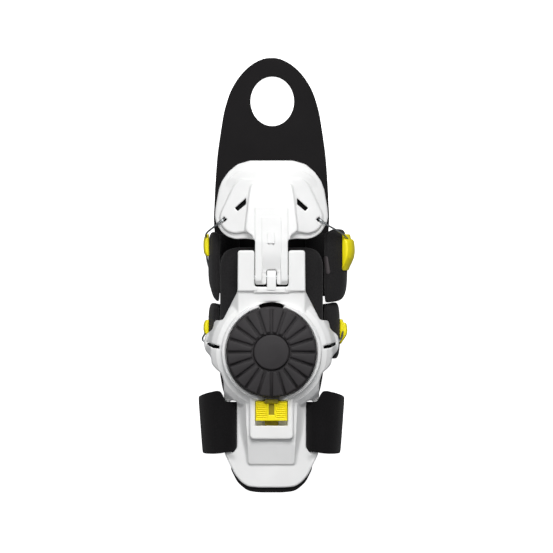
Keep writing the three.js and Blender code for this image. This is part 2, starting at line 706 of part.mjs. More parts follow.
const PIECES = [
  ["forearm_frame", forearmFrame(), WHITE],
  ["hand_plate", handPlate(), WHITE],
  ["hinge_pin", cylinderX(PIN_R, -PIN_HALF_LENGTH, PIN_HALF_LENGTH), STEEL],
  ["dial", dial(), CHARCOAL],
  ["dial_cap", dialCap(), CHARCOAL],
  ["release_latch", releaseLatch(), YELLOW],
  ["dorsal_liner", arched(mirrored(LINER_HALF), LINER_INNER_R, LINER_OUTER_R, ARCH_AXIS_Z, 20), BLACK],
  ["hand_pad", arched(mirrored(HAND_PAD_HALF), HAND_PAD_INNER_R, HAND_PAD_OUTER_R, HAND_AXIS_Z, 30), BLACK],
  ["palm_tongue", palmTongue(), BLACK],
  ["hand_wing_right", band(handWings.right, 2.6, 12), BLACK],
  ["hand_wing_left", band(handWings.left, 2.6, 12), BLACK],
  ["wrist_wing_right", band(wristWings.right, 2.6, 12), BLACK],
  ["wrist_wing_left", band(wristWings.left, 2.6, 12), BLACK],
  ["hand_guide_right", guide(handWings.right, 1, HAND_GUIDES.right), YELLOW],
  ["hand_guide_left", guide(handWings.left, -1, HAND_GUIDES.left), YELLOW],
  ["wrist_guide_right", guide(wristWings.right, 1, WRIST_GUIDES.right), YELLOW],
  ["wrist_guide_left", guide(wristWings.left, -1, WRIST_GUIDES.left), YELLOW],
  ["cable_right", cord(cables.right, CABLE_R, CABLE_STEPS, 6), STEEL],
  ["cable_left", cord(cables.left, CABLE_R, CABLE_STEPS, 6), STEEL],
  ["forearm_strap", forearmStrap(), BLACK],
];

const wristGuard = new THREE.Group();
wristGuard.name = "wrist_guard";
PIECES.forEach(([name, shape, material]) => wristGuard.add(piece(name, shape, material)));

export default wristGuard;
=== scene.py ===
"""Looks of a cable-tightened wrist guard: white shells, a dark dial, yellow catches and black padding."""
import logging
import math
from collections.abc import Callable, Iterable, Sequence
from dataclasses import dataclass, field
from enum import Enum

import bpy
import numpy as np
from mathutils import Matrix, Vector
from mathutils.geometry import delaunay_2d_cdt


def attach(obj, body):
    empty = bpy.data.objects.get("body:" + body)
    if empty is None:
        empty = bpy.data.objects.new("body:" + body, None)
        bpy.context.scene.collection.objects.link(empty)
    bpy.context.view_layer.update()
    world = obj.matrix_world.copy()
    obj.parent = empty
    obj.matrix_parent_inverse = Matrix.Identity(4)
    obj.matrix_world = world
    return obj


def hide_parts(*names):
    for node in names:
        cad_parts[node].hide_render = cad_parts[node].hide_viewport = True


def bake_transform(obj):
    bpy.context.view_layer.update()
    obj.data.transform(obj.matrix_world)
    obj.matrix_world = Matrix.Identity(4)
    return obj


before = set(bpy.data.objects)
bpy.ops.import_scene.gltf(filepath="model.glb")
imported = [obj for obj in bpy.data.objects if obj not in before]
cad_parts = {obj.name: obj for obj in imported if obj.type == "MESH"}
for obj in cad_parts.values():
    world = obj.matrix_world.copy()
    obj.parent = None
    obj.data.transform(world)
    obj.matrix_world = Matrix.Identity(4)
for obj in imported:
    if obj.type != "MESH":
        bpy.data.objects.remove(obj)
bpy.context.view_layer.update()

LOG = logging.getLogger("wrist_guard")
MM = 0.001
# The angle in degrees below which a soft piece's edges are smooth
SOFT_DEG = 80.0
# The two signs of X that a pair's shapes are made with
SIGNS = (1, -1)
Array = np.ndarray
Half = Sequence[tuple[float, float]]
Table = list[tuple[float, ...]]
Solid = tuple[Array, list[tuple[int, ...]]]
Piece = bpy.types.Object
Tree = bpy.types.NodeTree
Socket = bpy.types.NodeSocket


class Body(Enum):
    """The rigid bodies that pieces move with."""

    FOREARM = "forearm"
    HAND = "hand"
    DIAL = "dial"
    LATCH = "latch"


class Side(Enum):
    """The two sides of the hand, by the sign of X."""

    RIGHT = 1
    LEFT = -1

    @property
    def word(self) -> str:
        """The side's name as the pieces spell it."""
        return self.name.lower()


class Weave(Enum):
    """How a cloth's surface is made up."""

    PLAIN = "plain"
    LOOPS = "loops"


# Sizes shared with the part's source, in millimetres

ARCH_AXIS_Z = -18.0
LINER_INNER_R = 58.0
LINER_OUTER_R = 63.0
SHELL_INNER_R = 63.3
SHELL_OUTER_R = 66.3
HAND_AXIS_Z = -25.3
PAD_INNER_R = 71.1
PAD_OUTER_R = 74.7
PLATE_INNER_R = 75.0
PLATE_OUTER_R = 77.8
HINGE_Y = -2.1
HINGE_Z = 55.5
DIAL_Y = -51.4
DIAL_BASE_Z = 58.8
DIAL_TOP_Z = 70.2


# Materials


def linear(hex_colour: str) -> tuple[float, float, float, float]:
    """An sRGB hex colour as linear RGBA."""
    parts = [int(hex_colour[i : i + 2], 16) / 255 for i in (1, 3, 5)]
    r, g, b = [c / 12.92 if c <= 0.04045 else ((c + 0.055) / 1.055) ** 2.4 for c in parts]
    return r, g, b, 1.0


def add_node(tree: Tree, kind: str, settings: dict | None = None, links: dict | None = None):
    """Adds a node with its settings and incoming links.

    Args:
        tree: the node tree.
        kind: the node's type name.
        settings: property values, or default values of inputs, by name or index.
        links: the sockets that feed its inputs, by name or index.

    Returns:
        The new node.
    """
    node = tree.nodes.new(kind)
    for key, value in (settings or {}).items():
        if isinstance(key, str) and hasattr(node, key):
            setattr(node, key, value)
        else:
            node.inputs[key].default_value = value
    for key, socket in (links or {}).items():
        tree.links.new(socket, node.inputs[key])
    return node


def maths(tree: Tree, operation: str, *values: float | Socket) -> Socket:
    """The result of a Math node over numbers and sockets, in the order of its inputs."""
    settings, links = {"operation": operation}, {}
    for index, value in enumerate(values):
        (links if isinstance(value, Socket) else settings)[index] = value
    return add_node(tree, "ShaderNodeMath", settings, links).outputs[0]


def noise(tree: Tree, place: Socket, scale: float, detail: float) -> Socket:
    """Noise over a place, from 0 to 1."""
    settings = {"Scale": scale, "Detail": detail}
    return add_node(tree, "ShaderNodeTexNoise", settings, {"Vector": place}).outputs["Fac"]


def uneven(shader: bpy.types.Node, value: Socket, low: float, high: float) -> None:
    """Varies a shader's roughness between two values."""
    tree = shader.id_data
    spread = add_node(tree, "ShaderNodeMapRange", {"To Min": low, "To Max": high}, {"Value": value})
    tree.links.new(spread.outputs["Result"], shader.inputs["Roughness"])


def embossed(shader: bpy.types.Node, height: Socket, relief_mm: float, strength: float) -> None:
    """Gives a shader a fine relief."""
    tree = shader.id_data
    settings = {"Distance": relief_mm * MM, "Strength": strength}
    bump = add_node(tree, "ShaderNodeBump", settings, {"Height": height})
    tree.links.new(bump.outputs["Normal"], shader.inputs["Normal"])


def dyed(shader: bpy.types.Node, share: Socket, *stops: tuple[float, str]) -> None:
    """Colours a shader by a value, between two stops of a place and an sRGB colour."""
    tree = shader.id_data
    ramp = add_node(tree, "ShaderNodeValToRGB", links={"Fac": share})
    for element, (place, colour) in zip(ramp.color_ramp.elements, stops):
        element.position = place
        element.color = linear(colour)
    tree.links.new(ramp.outputs["Color"], shader.inputs["Base Color"])


def new_material(name: str) -> tuple[bpy.types.Material, Tree, bpy.types.Node]:
    """A material with only a Principled shader.

    Args:
        name: the material's name.

    Returns:
        The material, its tree and the shader.
    """
    material = bpy.data.materials.new(name)
    material.use_nodes = True
    tree = material.node_tree
    tree.nodes.clear()
    shader = add_node(tree, "ShaderNodeBsdfPrincipled")
    add_node(tree, "ShaderNodeOutputMaterial", links={"Surface": shader.outputs["BSDF"]})
    return material, tree, shader


@dataclass(frozen=True)
class MouldedPlastic:
    """Injection-moulded plastic: a fine spark-eroded grain and slow flow marks."""

    name: str
    colour: str
    shade: str
    roughness: float
    grain_mm: float = 0.35
    relief_mm: float = 0.012

    def make(self) -> bpy.types.Material:
        """The material."""
        material, tree, shader = new_material(self.name)
        place = add_node(tree, "ShaderNodeTexCoord").outputs["Object"]
        grain = noise(tree, place, 1 / (self.grain_mm * MM), 2.0)
        dyed(shader, noise(tree, place, 60.0, 3.0), (0.35, self.shade), (0.6, self.colour))
        uneven(shader, grain, self.roughness - 0.05, self.roughness + 0.06)
        embossed(shader, grain, self.relief_mm, 0.5)
        shader.inputs["IOR"].default_value = 1.5
        return material


@dataclass(frozen=True)
class Textile:
    """Cloth with its threads in relief: crossed waves for a plain weave, small cells for loops and knits."""

    name: str
    colour: str
    lit_thread_colour: str
    weave: Weave
    thread_mm: float
    relief_mm: float
    roughness: float = 0.92
    sheen: float = 0.1

    def make(self) -> bpy.types.Material:
        """The material."""
        material, tree, shader = new_material(self.name)
        place = add_node(tree, "ShaderNodeTexCoord").outputs["Object"]
        threads = self.crossed(tree, place) if self.weave is Weave.PLAIN else self.cells(tree, place)
        height = maths(tree, "MULTIPLY_ADD", noise(tree, place, 1400.0, 3.0), 0.5, threads)
        # Colour follows the threads' relief and noise: painted shade in the hollows between threads, lighter
        # thread tops, and random tone.
        relief_shade_and_tone = maths(tree, "ADD", height, noise(tree, place, 55.0, 4.0))
        share = add_node(tree, "ShaderNodeMapRange", {"From Min": 0.5, "From Max": 1.9}, {"Value": relief_shade_and_tone})
        dyed(shader, share.outputs["Result"], (0.0, self.colour), (1.0, self.lit_thread_colour))
        embossed(shader, height, self.relief_mm, 0.6)
        shader.inputs["Roughness"].default_value = self.roughness
        shader.inputs["Sheen Weight"].default_value = self.sheen
        shader.inputs["Sheen Roughness"].default_value = 0.5
        shader.inputs["Specular IOR Level"].default_value = 0.2
        return material

    def crossed(self, tree: Tree, place: Socket) -> Socket:
        """Threads that cross in X and Y, from 0 to 1."""
        axes = add_node(tree, "ShaderNodeSeparateXYZ", links={"Vector": place})
        rate = 2 * math.pi / (self.thread_mm * MM)
        along, across = (
            maths(tree, "SINE", maths(tree, "MULTIPLY", axes.outputs[axis], rate)) for axis in ("X", "Y")
        )
        return maths(tree, "MULTIPLY_ADD", maths(tree, "MULTIPLY", along, across), 0.5, 0.5)

    def cells(self, tree: Tree, place: Socket) -> Socket:
        """Small rounded loops, from 0 to 1."""
        scale = 1 / (self.thread_mm * MM)
        far = add_node(tree, "ShaderNodeTexVoronoi", {"Scale": scale}, {"Vector": place}).outputs["Distance"]
        near = add_node(tree, "ShaderNodeMapRange", {"From Min": 0.8, "From Max": 0.0}, {"Value": far})
        return near.outputs["Result"]


@dataclass(frozen=True)
class Metal:
    """Plain drawn or turned steel with fine scratches along its length."""

    name: str
    colour: str
    roughness: float

    def make(self) -> bpy.types.Material:
        """The material."""
        material, tree, shader = new_material(self.name)
        place = add_node(tree, "ShaderNodeTexCoord").outputs["Object"]
        uneven(shader, noise(tree, place, 1500.0, 3.0), self.roughness - 0.08, self.roughness + 0.1)
        shader.inputs["Base Color"].default_value = linear(self.colour)
        shader.inputs["Metallic"].default_value = 1.0
        return material


class Finishes:
    """The object's finishes, each made once."""

    def __init__(self) -> None:
        """Makes every material."""
        # White polyamide with a satin moulded skin: bright, with a broad soft gloss.
        self.white = MouldedPlastic("white_satin_polyamide", "#f1f1f0", "#ededec", 0.4).make()
        # Charcoal ABS with a dry, matt eroded grain.
        self.charcoal = MouldedPlastic("charcoal_matt_abs", "#2b282a", "#262325", 0.7, 0.5, 0.03).make()
        # Yellow acetal: even, saturated and a little waxy.
        self.yellow = MouldedPlastic("yellow_acetal", "#fff000", "#f8e800", 0.42).make()
        # Yellow acetal of the catch's rail, darkened to olive as painted shade where the rail lies under the
        # block and the dial's rim.
        self.rail = MouldedPlastic("greased_yellow_acetal", "#9a8c00", "#7d7200", 0.45).make()
        # Black knit laminated over foam: tight loops with a soft sheen.
        knit = Textile("black_knit_over_foam", "#151415", "#262526", Weave.LOOPS, 0.8, 0.12, 0.85, 0.12)
        self.knit = knit.make()
        # Black synthetic suede of the palm: a fine flat weave.
        palm = Textile("black_palm_fabric", "#100f10", "#1c1a1b", Weave.PLAIN, 1.0, 0.1, 0.85, 0.03)
        self.palm = palm.make()
        # Brushed loop of the strap: deep black that holds its light.
        loop = Textile("black_brushed_loop", "#070607", "#141214", Weave.LOOPS, 0.6, 0.15, 0.97, 0.08)
        self.loop = loop.make()
        # Rubbery patch that is welded on the side wall.
        self.patch = MouldedPlastic("dark_grey_rubber", "#4a4446", "#413c3e", 0.7, 0.4, 0.02).make()
        # Galvanised wire rope.
        self.rope = Metal("galvanised_wire_rope", "#b9bdbf", 0.32).make()
        # Turned steel pin.
        self.pin = Metal("turned_steel", "#c6c8ca", 0.28).make()


# Mesh helpers, in millimetres until the mesh is made


def mesh_piece(
    name: str,
    points: Array,
    faces: Iterable[Sequence[int]],
    material: bpy.types.Material,
    sharp_deg: float = 40.0,
) -> Piece:
    """A smooth-shaded object at the origin from points in millimetres.

    Args:
        name: the object's name.
        points: vertex positions, in millimetres.
        faces: vertex indices of each face.
        material: its finish.
        sharp_deg: edges sharper than this stay crisp.

    Returns:
        The new object, linked to the scene.
    """
    mesh = bpy.data.meshes.new(name)
    mesh.from_pydata((np.asarray(points, float) * MM).tolist(), [], [list(map(int, f)) for f in faces])
    mesh.validate()
    mesh.shade_smooth()
    mesh.set_sharp_from_angle(angle=math.radians(sharp_deg))
    mesh.materials.append(material)
    piece = bpy.data.objects.new(name, mesh)
    bpy.context.scene.collection.objects.link(piece)
    return piece


def joined(name: str, pieces: Sequence[Piece]) -> Piece:
    """One object from several, named after the whole."""
    bpy.ops.object.select_all(action="DESELECT")
    for piece in pieces:
        piece.select_set(True)
    bpy.context.view_layer.objects.active = pieces[0]
    if len(pieces) > 1:
        bpy.ops.object.join()
    pieces[0].name = name
    return pieces[0]


def settle(piece: Piece, body: Body | None, node: str) -> Piece:
    """Makes a piece stand for a CAD node, and ride on a body if one is given."""
    piece.name = node + "_dressed"
    if body:
        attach(piece, body.value)
    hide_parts(node)
    LOG.info("%s: %d faces", piece.name, len(piece.data.polygons))
    return piece


def mirrored(half: Half) -> Array:
    """A closed outline from its right half, listed front to back."""
    left = [(-x, y) for x, y in reversed(half) if x > 0.001]
    return np.array([*half, *left], float)


def symmetric(half: Half, radius: float) -> Array:
    """A rounded outline from its right half, anticlockwise."""
    return facing(rounded(mirrored(half), radius), True)


def on_side(loop: Half, side: int, radius: float) -> Array:
    """A rounded outline on one side, anticlockwise, from the one drawn at the right."""
    return facing(rounded(np.array(loop) * (side, 1), radius), True)


def area(loop: Array) -> float:
    """The signed area of a closed loop: above zero where it runs anticlockwise."""
    x, y = loop[:, 0], loop[:, 1]
    return 0.5 * float(np.sum(x * np.roll(y, -1) - np.roll(x, -1) * y))


def facing(loop: Array, anticlockwise: bool) -> Array:
    """The loop, listed the way that is asked."""
    return loop if (area(loop) > 0) == anticlockwise else loop[::-1].copy()


def rounded(loop: Array, radius: float, steps: int = 5) -> Array:
    """The loop with each corner replaced by a short curve."""
    out = []
    count = len(loop)
    for i in range(count):
        corner, before, after = loop[i], loop[i - 1], loop[(i + 1) % count]
        cuts = []
        for other in (before, after):
            way = other - corner
            length = float(np.hypot(*way))
            cuts.append(corner + way / length * min(radius, 0.45 * length))
        for t in np.linspace(0, 1, steps):
            out.append((1 - t) ** 2 * cuts[0] + 2 * t * (1 - t) * corner + t * t * cuts[1])
    return np.array(out)


def subdivided(loop: Array, step: float) -> Array:
    """The loop with points added so that none lie further apart than a step."""
    out = []
    for start, end in zip(loop, np.roll(loop, -1, axis=0)):
        count = max(1, math.ceil(float(np.hypot(*(end - start))) / step))
        out.extend(start + (end - start) * (k / count) for k in range(count))
    return np.array(out)


def flowing(loop: Array, step: float) -> Array:
    """A smooth closed curve through the loop's points."""
    out = []
    count = len(loop)
    for i in range(count):
        a, b, c, d = (loop[(i + k) % count] for k in (-1, 0, 1, 2))
        pieces = max(1, math.ceil(float(np.hypot(*(c - b))) / step))
        for t in np.arange(pieces) / pieces:
            square = (2 * a - 5 * b + 4 * c - d) * t**2
            cube = (3 * b - a - 3 * c + d) * t**3
            out.append(0.5 * (2 * b + (c - a) * t + square + cube))
    return np.array(out)


def circle(x: float, y: float, rx: float, ry: float | None = None, count: int = 96) -> Array:
    """A closed ellipse, anticlockwise."""
    angle = np.linspace(0, 2 * np.pi, count, endpoint=False)
    return np.column_stack([x + rx * np.cos(angle), y + (ry or rx) * np.sin(angle)])


def box_loop(x0: float, x1: float, y0: float, y1: float) -> Array:
    """A rectangle, anticlockwise."""
    return np.array([(x0, y0), (x1, y0), (x1, y1), (x0, y1)], float)


def offset(loop: Array, distance: float) -> Array:
    """The loop moved inwards along its corners' bisectors. It has to run anticlockwise."""
    ahead = np.roll(loop, -1, axis=0) - loop
    ahead /= np.maximum(np.linalg.norm(ahead, axis=1, keepdims=True), 1e-9)
    behind = np.roll(ahead, 1, axis=0)
    inward = np.column_stack([-(ahead + behind)[:, 1], (ahead + behind)[:, 0]])
    size = np.linalg.norm(inward, axis=1, keepdims=True)
    inward /= np.maximum(size, 1e-9)
    stretch = np.clip(2 / np.maximum(size, 1e-9), 1, 1.6)
    return loop + inward * stretch * distance


def signed_distance(points: Array, loop: Array, margin: float = 9.0) -> Array:
    """How far inside a closed loop each point lies: below zero outside, and no lower than the margin."""
    out = np.full(len(points), -margin)
    low, high = loop.min(axis=0) - margin, loop.max(axis=0) + margin
    close = np.flatnonzero(np.all((points > low) & (points < high), axis=1))
    a = loop
    b = np.roll(loop, -1, axis=0)
    run = b - a
    length2 = np.maximum(np.sum(run * run, axis=1), 1e-12)
    for start in range(0, len(close), 8000):
        chosen = close[start : start + 8000]
        p = points[chosen][:, None, :]
        t = np.clip(np.sum((p - a) * run, axis=2) / length2, 0, 1)
        near = a + t[..., None] * run
        away = np.min(np.sum((p - near) ** 2, axis=2), axis=1) ** 0.5
        rises = (a[:, 1] > p[..., 1]) != (b[:, 1] > p[..., 1])
        with np.errstate(divide="ignore", invalid="ignore"):
            crossing = a[:, 0] + (p[..., 1] - a[:, 1]) * run[:, 0] / run[:, 1]
        inside = np.sum(rises & (p[..., 0] < crossing), axis=1) % 2 == 1
        out[chosen] = np.maximum(np.where(inside, away, -away), -margin)
    return out


def fillet_drop(distance: Array, radius: float) -> Array:
    """How far a round edge has dropped, at a distance inside it."""
    t = np.clip(1 - distance / radius, 0, 1)
    return radius * (1 - np.sqrt(np.maximum(1 - t * t, 0)))


def raised(z: Array, top: Array | float, inside: Array, edge: float, foot: float) -> Array:
    """Steps a surface up to a top.

    Args:
        z: the surface before the step.
        top: the height of the step.
        inside: distance inside the step's outline.
        edge: radius of the step's upper edge.
        foot: radius of the hollow at its foot.

    Returns:
        The surface after it.
    """
    height = np.maximum(top - z, 0)
    share = np.clip(height / (edge + foot), 0, 1)
    upper = np.maximum(z, top - fillet_drop(np.maximum(inside, 0), edge) * share)
    lower = z + fillet_drop(np.maximum(-inside, 0), foot) * share
    return np.where(inside > 0, upper, lower)


def sunk(z: Array, floor: Array | float, inside: Array, edge: float, foot: float) -> Array:
    """Steps a surface down to a floor, with its rim and its foot rounded."""
    return -raised(-z, -floor, inside, foot, edge)


def smooth_max(a: Array, b: Array, width: float) -> Array:
    """The higher of two surfaces, blended where they cross."""
    return np.maximum(a, b) + np.maximum(width - np.abs(a - b), 0) ** 2 / (4 * width)


def arch(x: Array, radius: float, axis_z: float) -> Array:
    """The height of an arch along Y."""
    return axis_z + np.sqrt(np.maximum(radius * radius - x * x, 1.0))


def level(height: float) -> Callable[[Array], Array]:
    """A level surface, as a height for every place."""
    return lambda points: np.full(len(points), float(height))


def triangulated(
    points: Array, loops: Sequence[Array], keep: Callable[[Array], Array]
) -> tuple[Array, Array, list]:
    """Delaunay triangles over points, along closed loops of them.

    Args:
        points: the loops' points first, in order, and then any others.
        loops: each closed loop's indices.
        keep: which of the triangles' middles belong to the surface.

    Returns:
        The points, the triangles, and for each given point its index among the returned ones.
    """
    edges = [(int(i), int(j)) for loop in loops for i, j in zip(loop, np.roll(loop, -1))]
    verts, _, faces, origins, _, _ = delaunay_2d_cdt([Vector(p) for p in points], edges, [], 0, 1e-6)
    out = np.array([tuple(v) for v in verts])
    where = [0] * len(points)
    for new, olds in enumerate(origins):
        for old in olds:
            where[old] = new
    tris = np.array([f for f in faces if len(f) == 3])
    kept = keep(out[tris].mean(axis=1))
    return out, tris[kept], where


@dataclass
class ReliefShell:
    """A moulded shell over an outline: a height for each place above and below, and walls between."""

    outline: Array
    top: Callable[[Array], Array]
    underside: Callable[[Array], Array]
    holes: list[Array] = field(default_factory=list)
    creases: list[Array] = field(default_factory=list)
    edge: float = 1.2
    lower_edge: float = 0.5
    spacing: float = 0.9
    reach: tuple[float, ...] = (-1.1, -0.7, -0.4, -0.2, -0.08, -0.02, 0.02, 0.08, 0.2, 0.4, 0.7, 1.1)

    def inside(self, points: Array) -> Array:
        """How far each point lies inside the outline and outside the holes."""
        away = signed_distance(points, self.outline)
        for hole in self.holes:
            away = np.minimum(away, -signed_distance(points, hole))
        return away

    def skin(
        self, rings: Sequence[float], spacing: float, creases: bool
    ) -> tuple[Array, Array, list[list[int]]]:
        """Triangles over the outline.

        Args:
            rings: distances inside the edge that the mesh follows.
            spacing: the distance between points elsewhere.
            creases: whether the mesh follows the creases.

        Returns:
            Points in the plane, triangles, and each edge loop's indices.
        """
        loops = [facing(self.outline, True)] + [facing(hole, False) for hole in self.holes]
        free = []
        for k, loop in enumerate(loops):
            turned = facing(loop, True)
            free.extend(offset(turned, ring if k == 0 else -ring) for ring in rings)
        if creases:
            for crease in self.creases:
                turned = facing(subdivided(crease, 0.7), True)
                free.extend(offset(turned, step) for step in self.reach)
        low, high = self.outline.min(axis=0), self.outline.max(axis=0)
        xs = np.arange(low[0], high[0], spacing)
        ys = np.arange(low[1], high[1], spacing * 0.87)
        gx, gy = np.meshgrid(xs, ys)
        gx = gx + (np.arange(len(ys)) % 2)[:, None] * spacing / 2
        free.append(np.column_stack([gx.ravel(), gy.ravel()]))
        extra = np.concatenate(free)
        _, first = np.unique(np.round(extra / 0.03).astype(int), axis=0, return_index=True)
        extra = extra[np.sort(first)]
        extra = extra[self.inside(extra) > min(rings[0] * 0.6, 0.03)]
        edge = np.concatenate(loops)
        starts = np.cumsum([0] + [len(loop) for loop in loops])
        indices = [np.arange(starts[k], starts[k + 1]) for k in range(len(loops))]
        points, tris, where = triangulated(
            np.concatenate([edge, extra]), indices, lambda middles: self.inside(middles) > 0
        )
        return points, tris, [[where[i] for i in loop] for loop in indices]

    def build(self) -> Solid:
        """The closed shell's points and faces."""
        rings = [self.edge * (1 - math.cos(math.radians(a))) for a in (12, 24, 38, 52, 66, 80, 90)]
        points, tris, loops = self.skin(rings, self.spacing, True)
        away = np.maximum(self.inside(points), 0)
        top = self.top(points) - fillet_drop(away, self.edge)
        low_points, low_tris, low_loops = self.skin([0.15, self.lower_edge], 2.6, False)
        low_away = np.maximum(self.inside(low_points), 0)
        low = self.underside(low_points) + fillet_drop(low_away, self.lower_edge)
        base = len(points)
        verts = np.concatenate([np.column_stack([points, top]), np.column_stack([low_points, low])])
        faces = [tuple(t) for t in tris] + [tuple(base + i for i in reversed(t)) for t in low_tris.tolist()]
        for upper, lower in zip(loops, low_loops):
            for i in range(len(upper)):
                j = (i + 1) % len(upper)
                faces.append((base + lower[i], base + lower[j], upper[j], upper[i]))
        return verts, faces


def lofted(rings: Sequence[Array], closed: bool = False) -> Solid:
    """A skin over rings of points, with its ends filled unless it closes on itself.

    Args:
        rings: point rings of one length.
        closed: whether the last ring meets the first.

    Returns:
        The points and the faces, facing outwards.
    """
    per = len(rings[0])
    points = np.concatenate(rings)
    faces: list[tuple[int, ...]] = []
    count = len(rings)
    for i in range(count if closed else count - 1):
        here, there = i * per, (i + 1) % count * per
        for k in range(per):
            n = (k + 1) % per
            faces.append((here + k, here + n, there + n, there + k))
    if not closed:
        faces.append(tuple(range(per))[::-1])
        faces.append(tuple(range((count - 1) * per, count * per)))
    middle = points.mean(axis=0)
    sum_out = 0.0
    for f in faces[: (count - 1) * per]:
        a, b, c = points[f[0]], points[f[1]], points[f[2]]
        sum_out += float(np.dot(np.cross(b - a, c - a), a - middle))
    if sum_out < 0:
        faces = [f[::-1] for f in faces]
    return points, faces


def smoothed(rows: Sequence[Sequence[float]], count: int, power: float = 0.0) -> Array:
    """Rows resampled along a smooth curve through them.

    Args:
        rows: the values to pass through.
        count: how many rows to return.
        power: 0 gives every span the same weight, 0.5 weighs spans by their length.

    Returns:
        The new rows.
    """
    rows = np.array(rows, float)
    ends = np.vstack([2 * rows[0] - rows[1], rows, 2 * rows[-1] - rows[-2]])
    spots = np.linspace(0, len(rows) - 1, count)
    k = np.minimum(spots.astype(int), len(rows) - 2)
    t = (spots - k)[:, None]
    a, b, c, d = ends[k], ends[k + 1], ends[k + 2], ends[k + 3]
    g0, g1, g2 = (
        np.linalg.norm(q - p, axis=1, keepdims=True) ** power for p, q in ((a, b), (b, c), (c, d))
    )
    leave = ((b - a) / g0 - (c - a) / (g0 + g1) + (c - b) / g1) * g1
    arrive = ((c - b) / g1 - (d - b) / (g1 + g2) + (d - c) / g2) * g1
    return b + leave * t + (3 * (c - b) - 2 * leave - arrive) * t**2 + (2 * (b - c) + leave + arrive) * t**3


def outward(rows: Array, side: int) -> Array:
    """The direction out of a band at each row, in the XZ plane."""
    run = np.gradient(rows[:, :2], axis=0)
    run /= np.linalg.norm(run, axis=1, keepdims=True)
    return np.column_stack([-run[:, 1], run[:, 0]]) * side


def band_rows(table: Sequence[Sequence[float]], count: int) -> Array:
    """A band's rows, resampled. Each row is X, Z, back Y, front Y and thickness."""
    rows = np.array(table, float)
    return np.hstack([smoothed(rows[:, :2], count, 0.5), smoothed(rows[:, 2:], count)])


def capped(rows: Array, radius: float, count: int = 60) -> Array:
    """A band's rows with its two ends drawn in to a round edge."""
    along = np.concatenate([[0], np.cumsum(np.hypot(*np.diff(rows[:, :2], axis=0).T))])
    near = radius * (1 - np.cos(np.radians([0, 14, 28, 42, 56, 70, 80])))
    spots = np.concatenate([near, np.linspace(radius, along[-1] - radius, count), along[-1] - near[::-1]])
    out = np.column_stack([np.interp(spots, along, rows[:, k]) for k in range(5)])
    drop = fillet_drop(np.minimum(spots, along[-1] - spots), radius)
    out[:, 2] += drop
    out[:, 3] -= drop
    out[:, 4] = np.maximum(out[:, 4] - 2 * drop, 0.1)
    return out


def superellipse(power: float, count: int) -> Array:
    """A closed section, one wide and one high, between an ellipse and a box; a higher power is squarer."""
    angle = 2 * np.pi * (np.arange(count) + 0.5) / count
    circle_points = np.column_stack([np.cos(angle), np.sin(angle)])
    return np.sign(circle_points) * np.abs(circle_points) ** (2 / power) / 2


def band(rows: Array, section: Array) -> Solid:
    """A band with one section through its rows. The section runs along Y, and out from the band."""
    rings = []
    for (x, z, y0, y1, thickness), (nx, nz) in zip(rows, outward(rows, 1)):
        lift = section[:, 1] * thickness
        rings.append(
            np.column_stack([x + nx * lift, (y0 + y1) / 2 + section[:, 0] * (y1 - y0), z + nz * lift])
        )
    return lofted(rings)


def revolved(profile: Half, y: float, count: int) -> Solid:
    """A solid of revolution about a vertical axis.

    Args:
        profile: radius and height, from the middle of the underside round to the middle of the top.
        y: the axis's place.
        count: points round it.

    Returns:
        The points and the faces.
    """
    angle = np.linspace(0, 2 * np.pi, count, endpoint=False)
    rings = [
        np.column_stack([r * np.cos(angle), y + r * np.sin(angle), np.full(count, z)]) for r, z in profile
    ]
    return lofted(rings)


# Geometry Nodes


class NodeTree:
    """A Geometry Nodes tree with named inputs, run once on a mesh and baked."""

    def __init__(self, name: str, inputs: dict[str, tuple[str, object]]) -> None:
        """Makes the tree's sockets.

        Args:
            name: the tree's name.
            inputs: socket type and value of each named input.
        """
        self.tree = bpy.data.node_groups.new(name, "GeometryNodeTree")
        face = self.tree.interface
        face.new_socket("Geometry", in_out="INPUT", socket_type="NodeSocketGeometry")
        face.new_socket("Geometry", in_out="OUTPUT", socket_type="NodeSocketGeometry")
        self.values = {}
        for word, (kind, value) in inputs.items():
            socket = face.new_socket(word, in_out="INPUT", socket_type=kind)
            self.values[socket.identifier] = value
        self.source = self.tree.nodes.new("NodeGroupInput")
        self.sink = self.tree.nodes.new("NodeGroupOutput")

    def add(self, kind: str, settings: dict | None = None, links: dict | None = None):
        """Adds a node to the tree."""
        return add_node(self.tree, kind, settings, links)

    def given(self, name: str):
        """The socket that carries a named input."""
        return self.source.outputs[name]

    def bake(self, carrier: Piece, name: str, out) -> Piece:
        """Runs the tree on a carrier object.

        Args:
            carrier: the object that holds the input geometry; it is removed.
            name: the result's name.
            out: the socket with the finished geometry.

        Returns:
            A plain mesh object.
        """
        whole = self.add("GeometryNodeRealizeInstances", links={"Geometry": out})
        links = {"Geometry": whole.outputs[0], "Material": self.given("Material")}
        dressed = self.add("GeometryNodeSetMaterial", links=links)
        self.tree.links.new(dressed.outputs[0], self.sink.inputs[0])
        modifier = carrier.modifiers.new(name, "NODES")
        modifier.node_group = self.tree
        for identifier, value in self.values.items():
            modifier[identifier] = value
        bpy.context.view_layer.update()
        graph = bpy.context.evaluated_depsgraph_get()
        mesh = bpy.data.meshes.new_from_object(carrier.evaluated_get(graph))
        mesh.name = name
        piece = bpy.data.objects.new(name, mesh)
        bpy.context.scene.collection.objects.link(piece)
        carrier.modifiers.clear()
        bpy.data.objects.remove(carrier)
        return piece


def template(name: str, points: Array, faces: Iterable[Sequence[int]]) -> Piece:
    """A small object that a tree repeats. The scene doesn't show it."""
    mesh = bpy.data.meshes.new(name)
    mesh.from_pydata((np.asarray(points, float) * MM).tolist(), [], [list(map(int, f)) for f in faces])
    mesh.shade_smooth()
    mesh.set_sharp_from_angle(angle=math.radians(40))
    return bpy.data.objects.new(name, mesh)


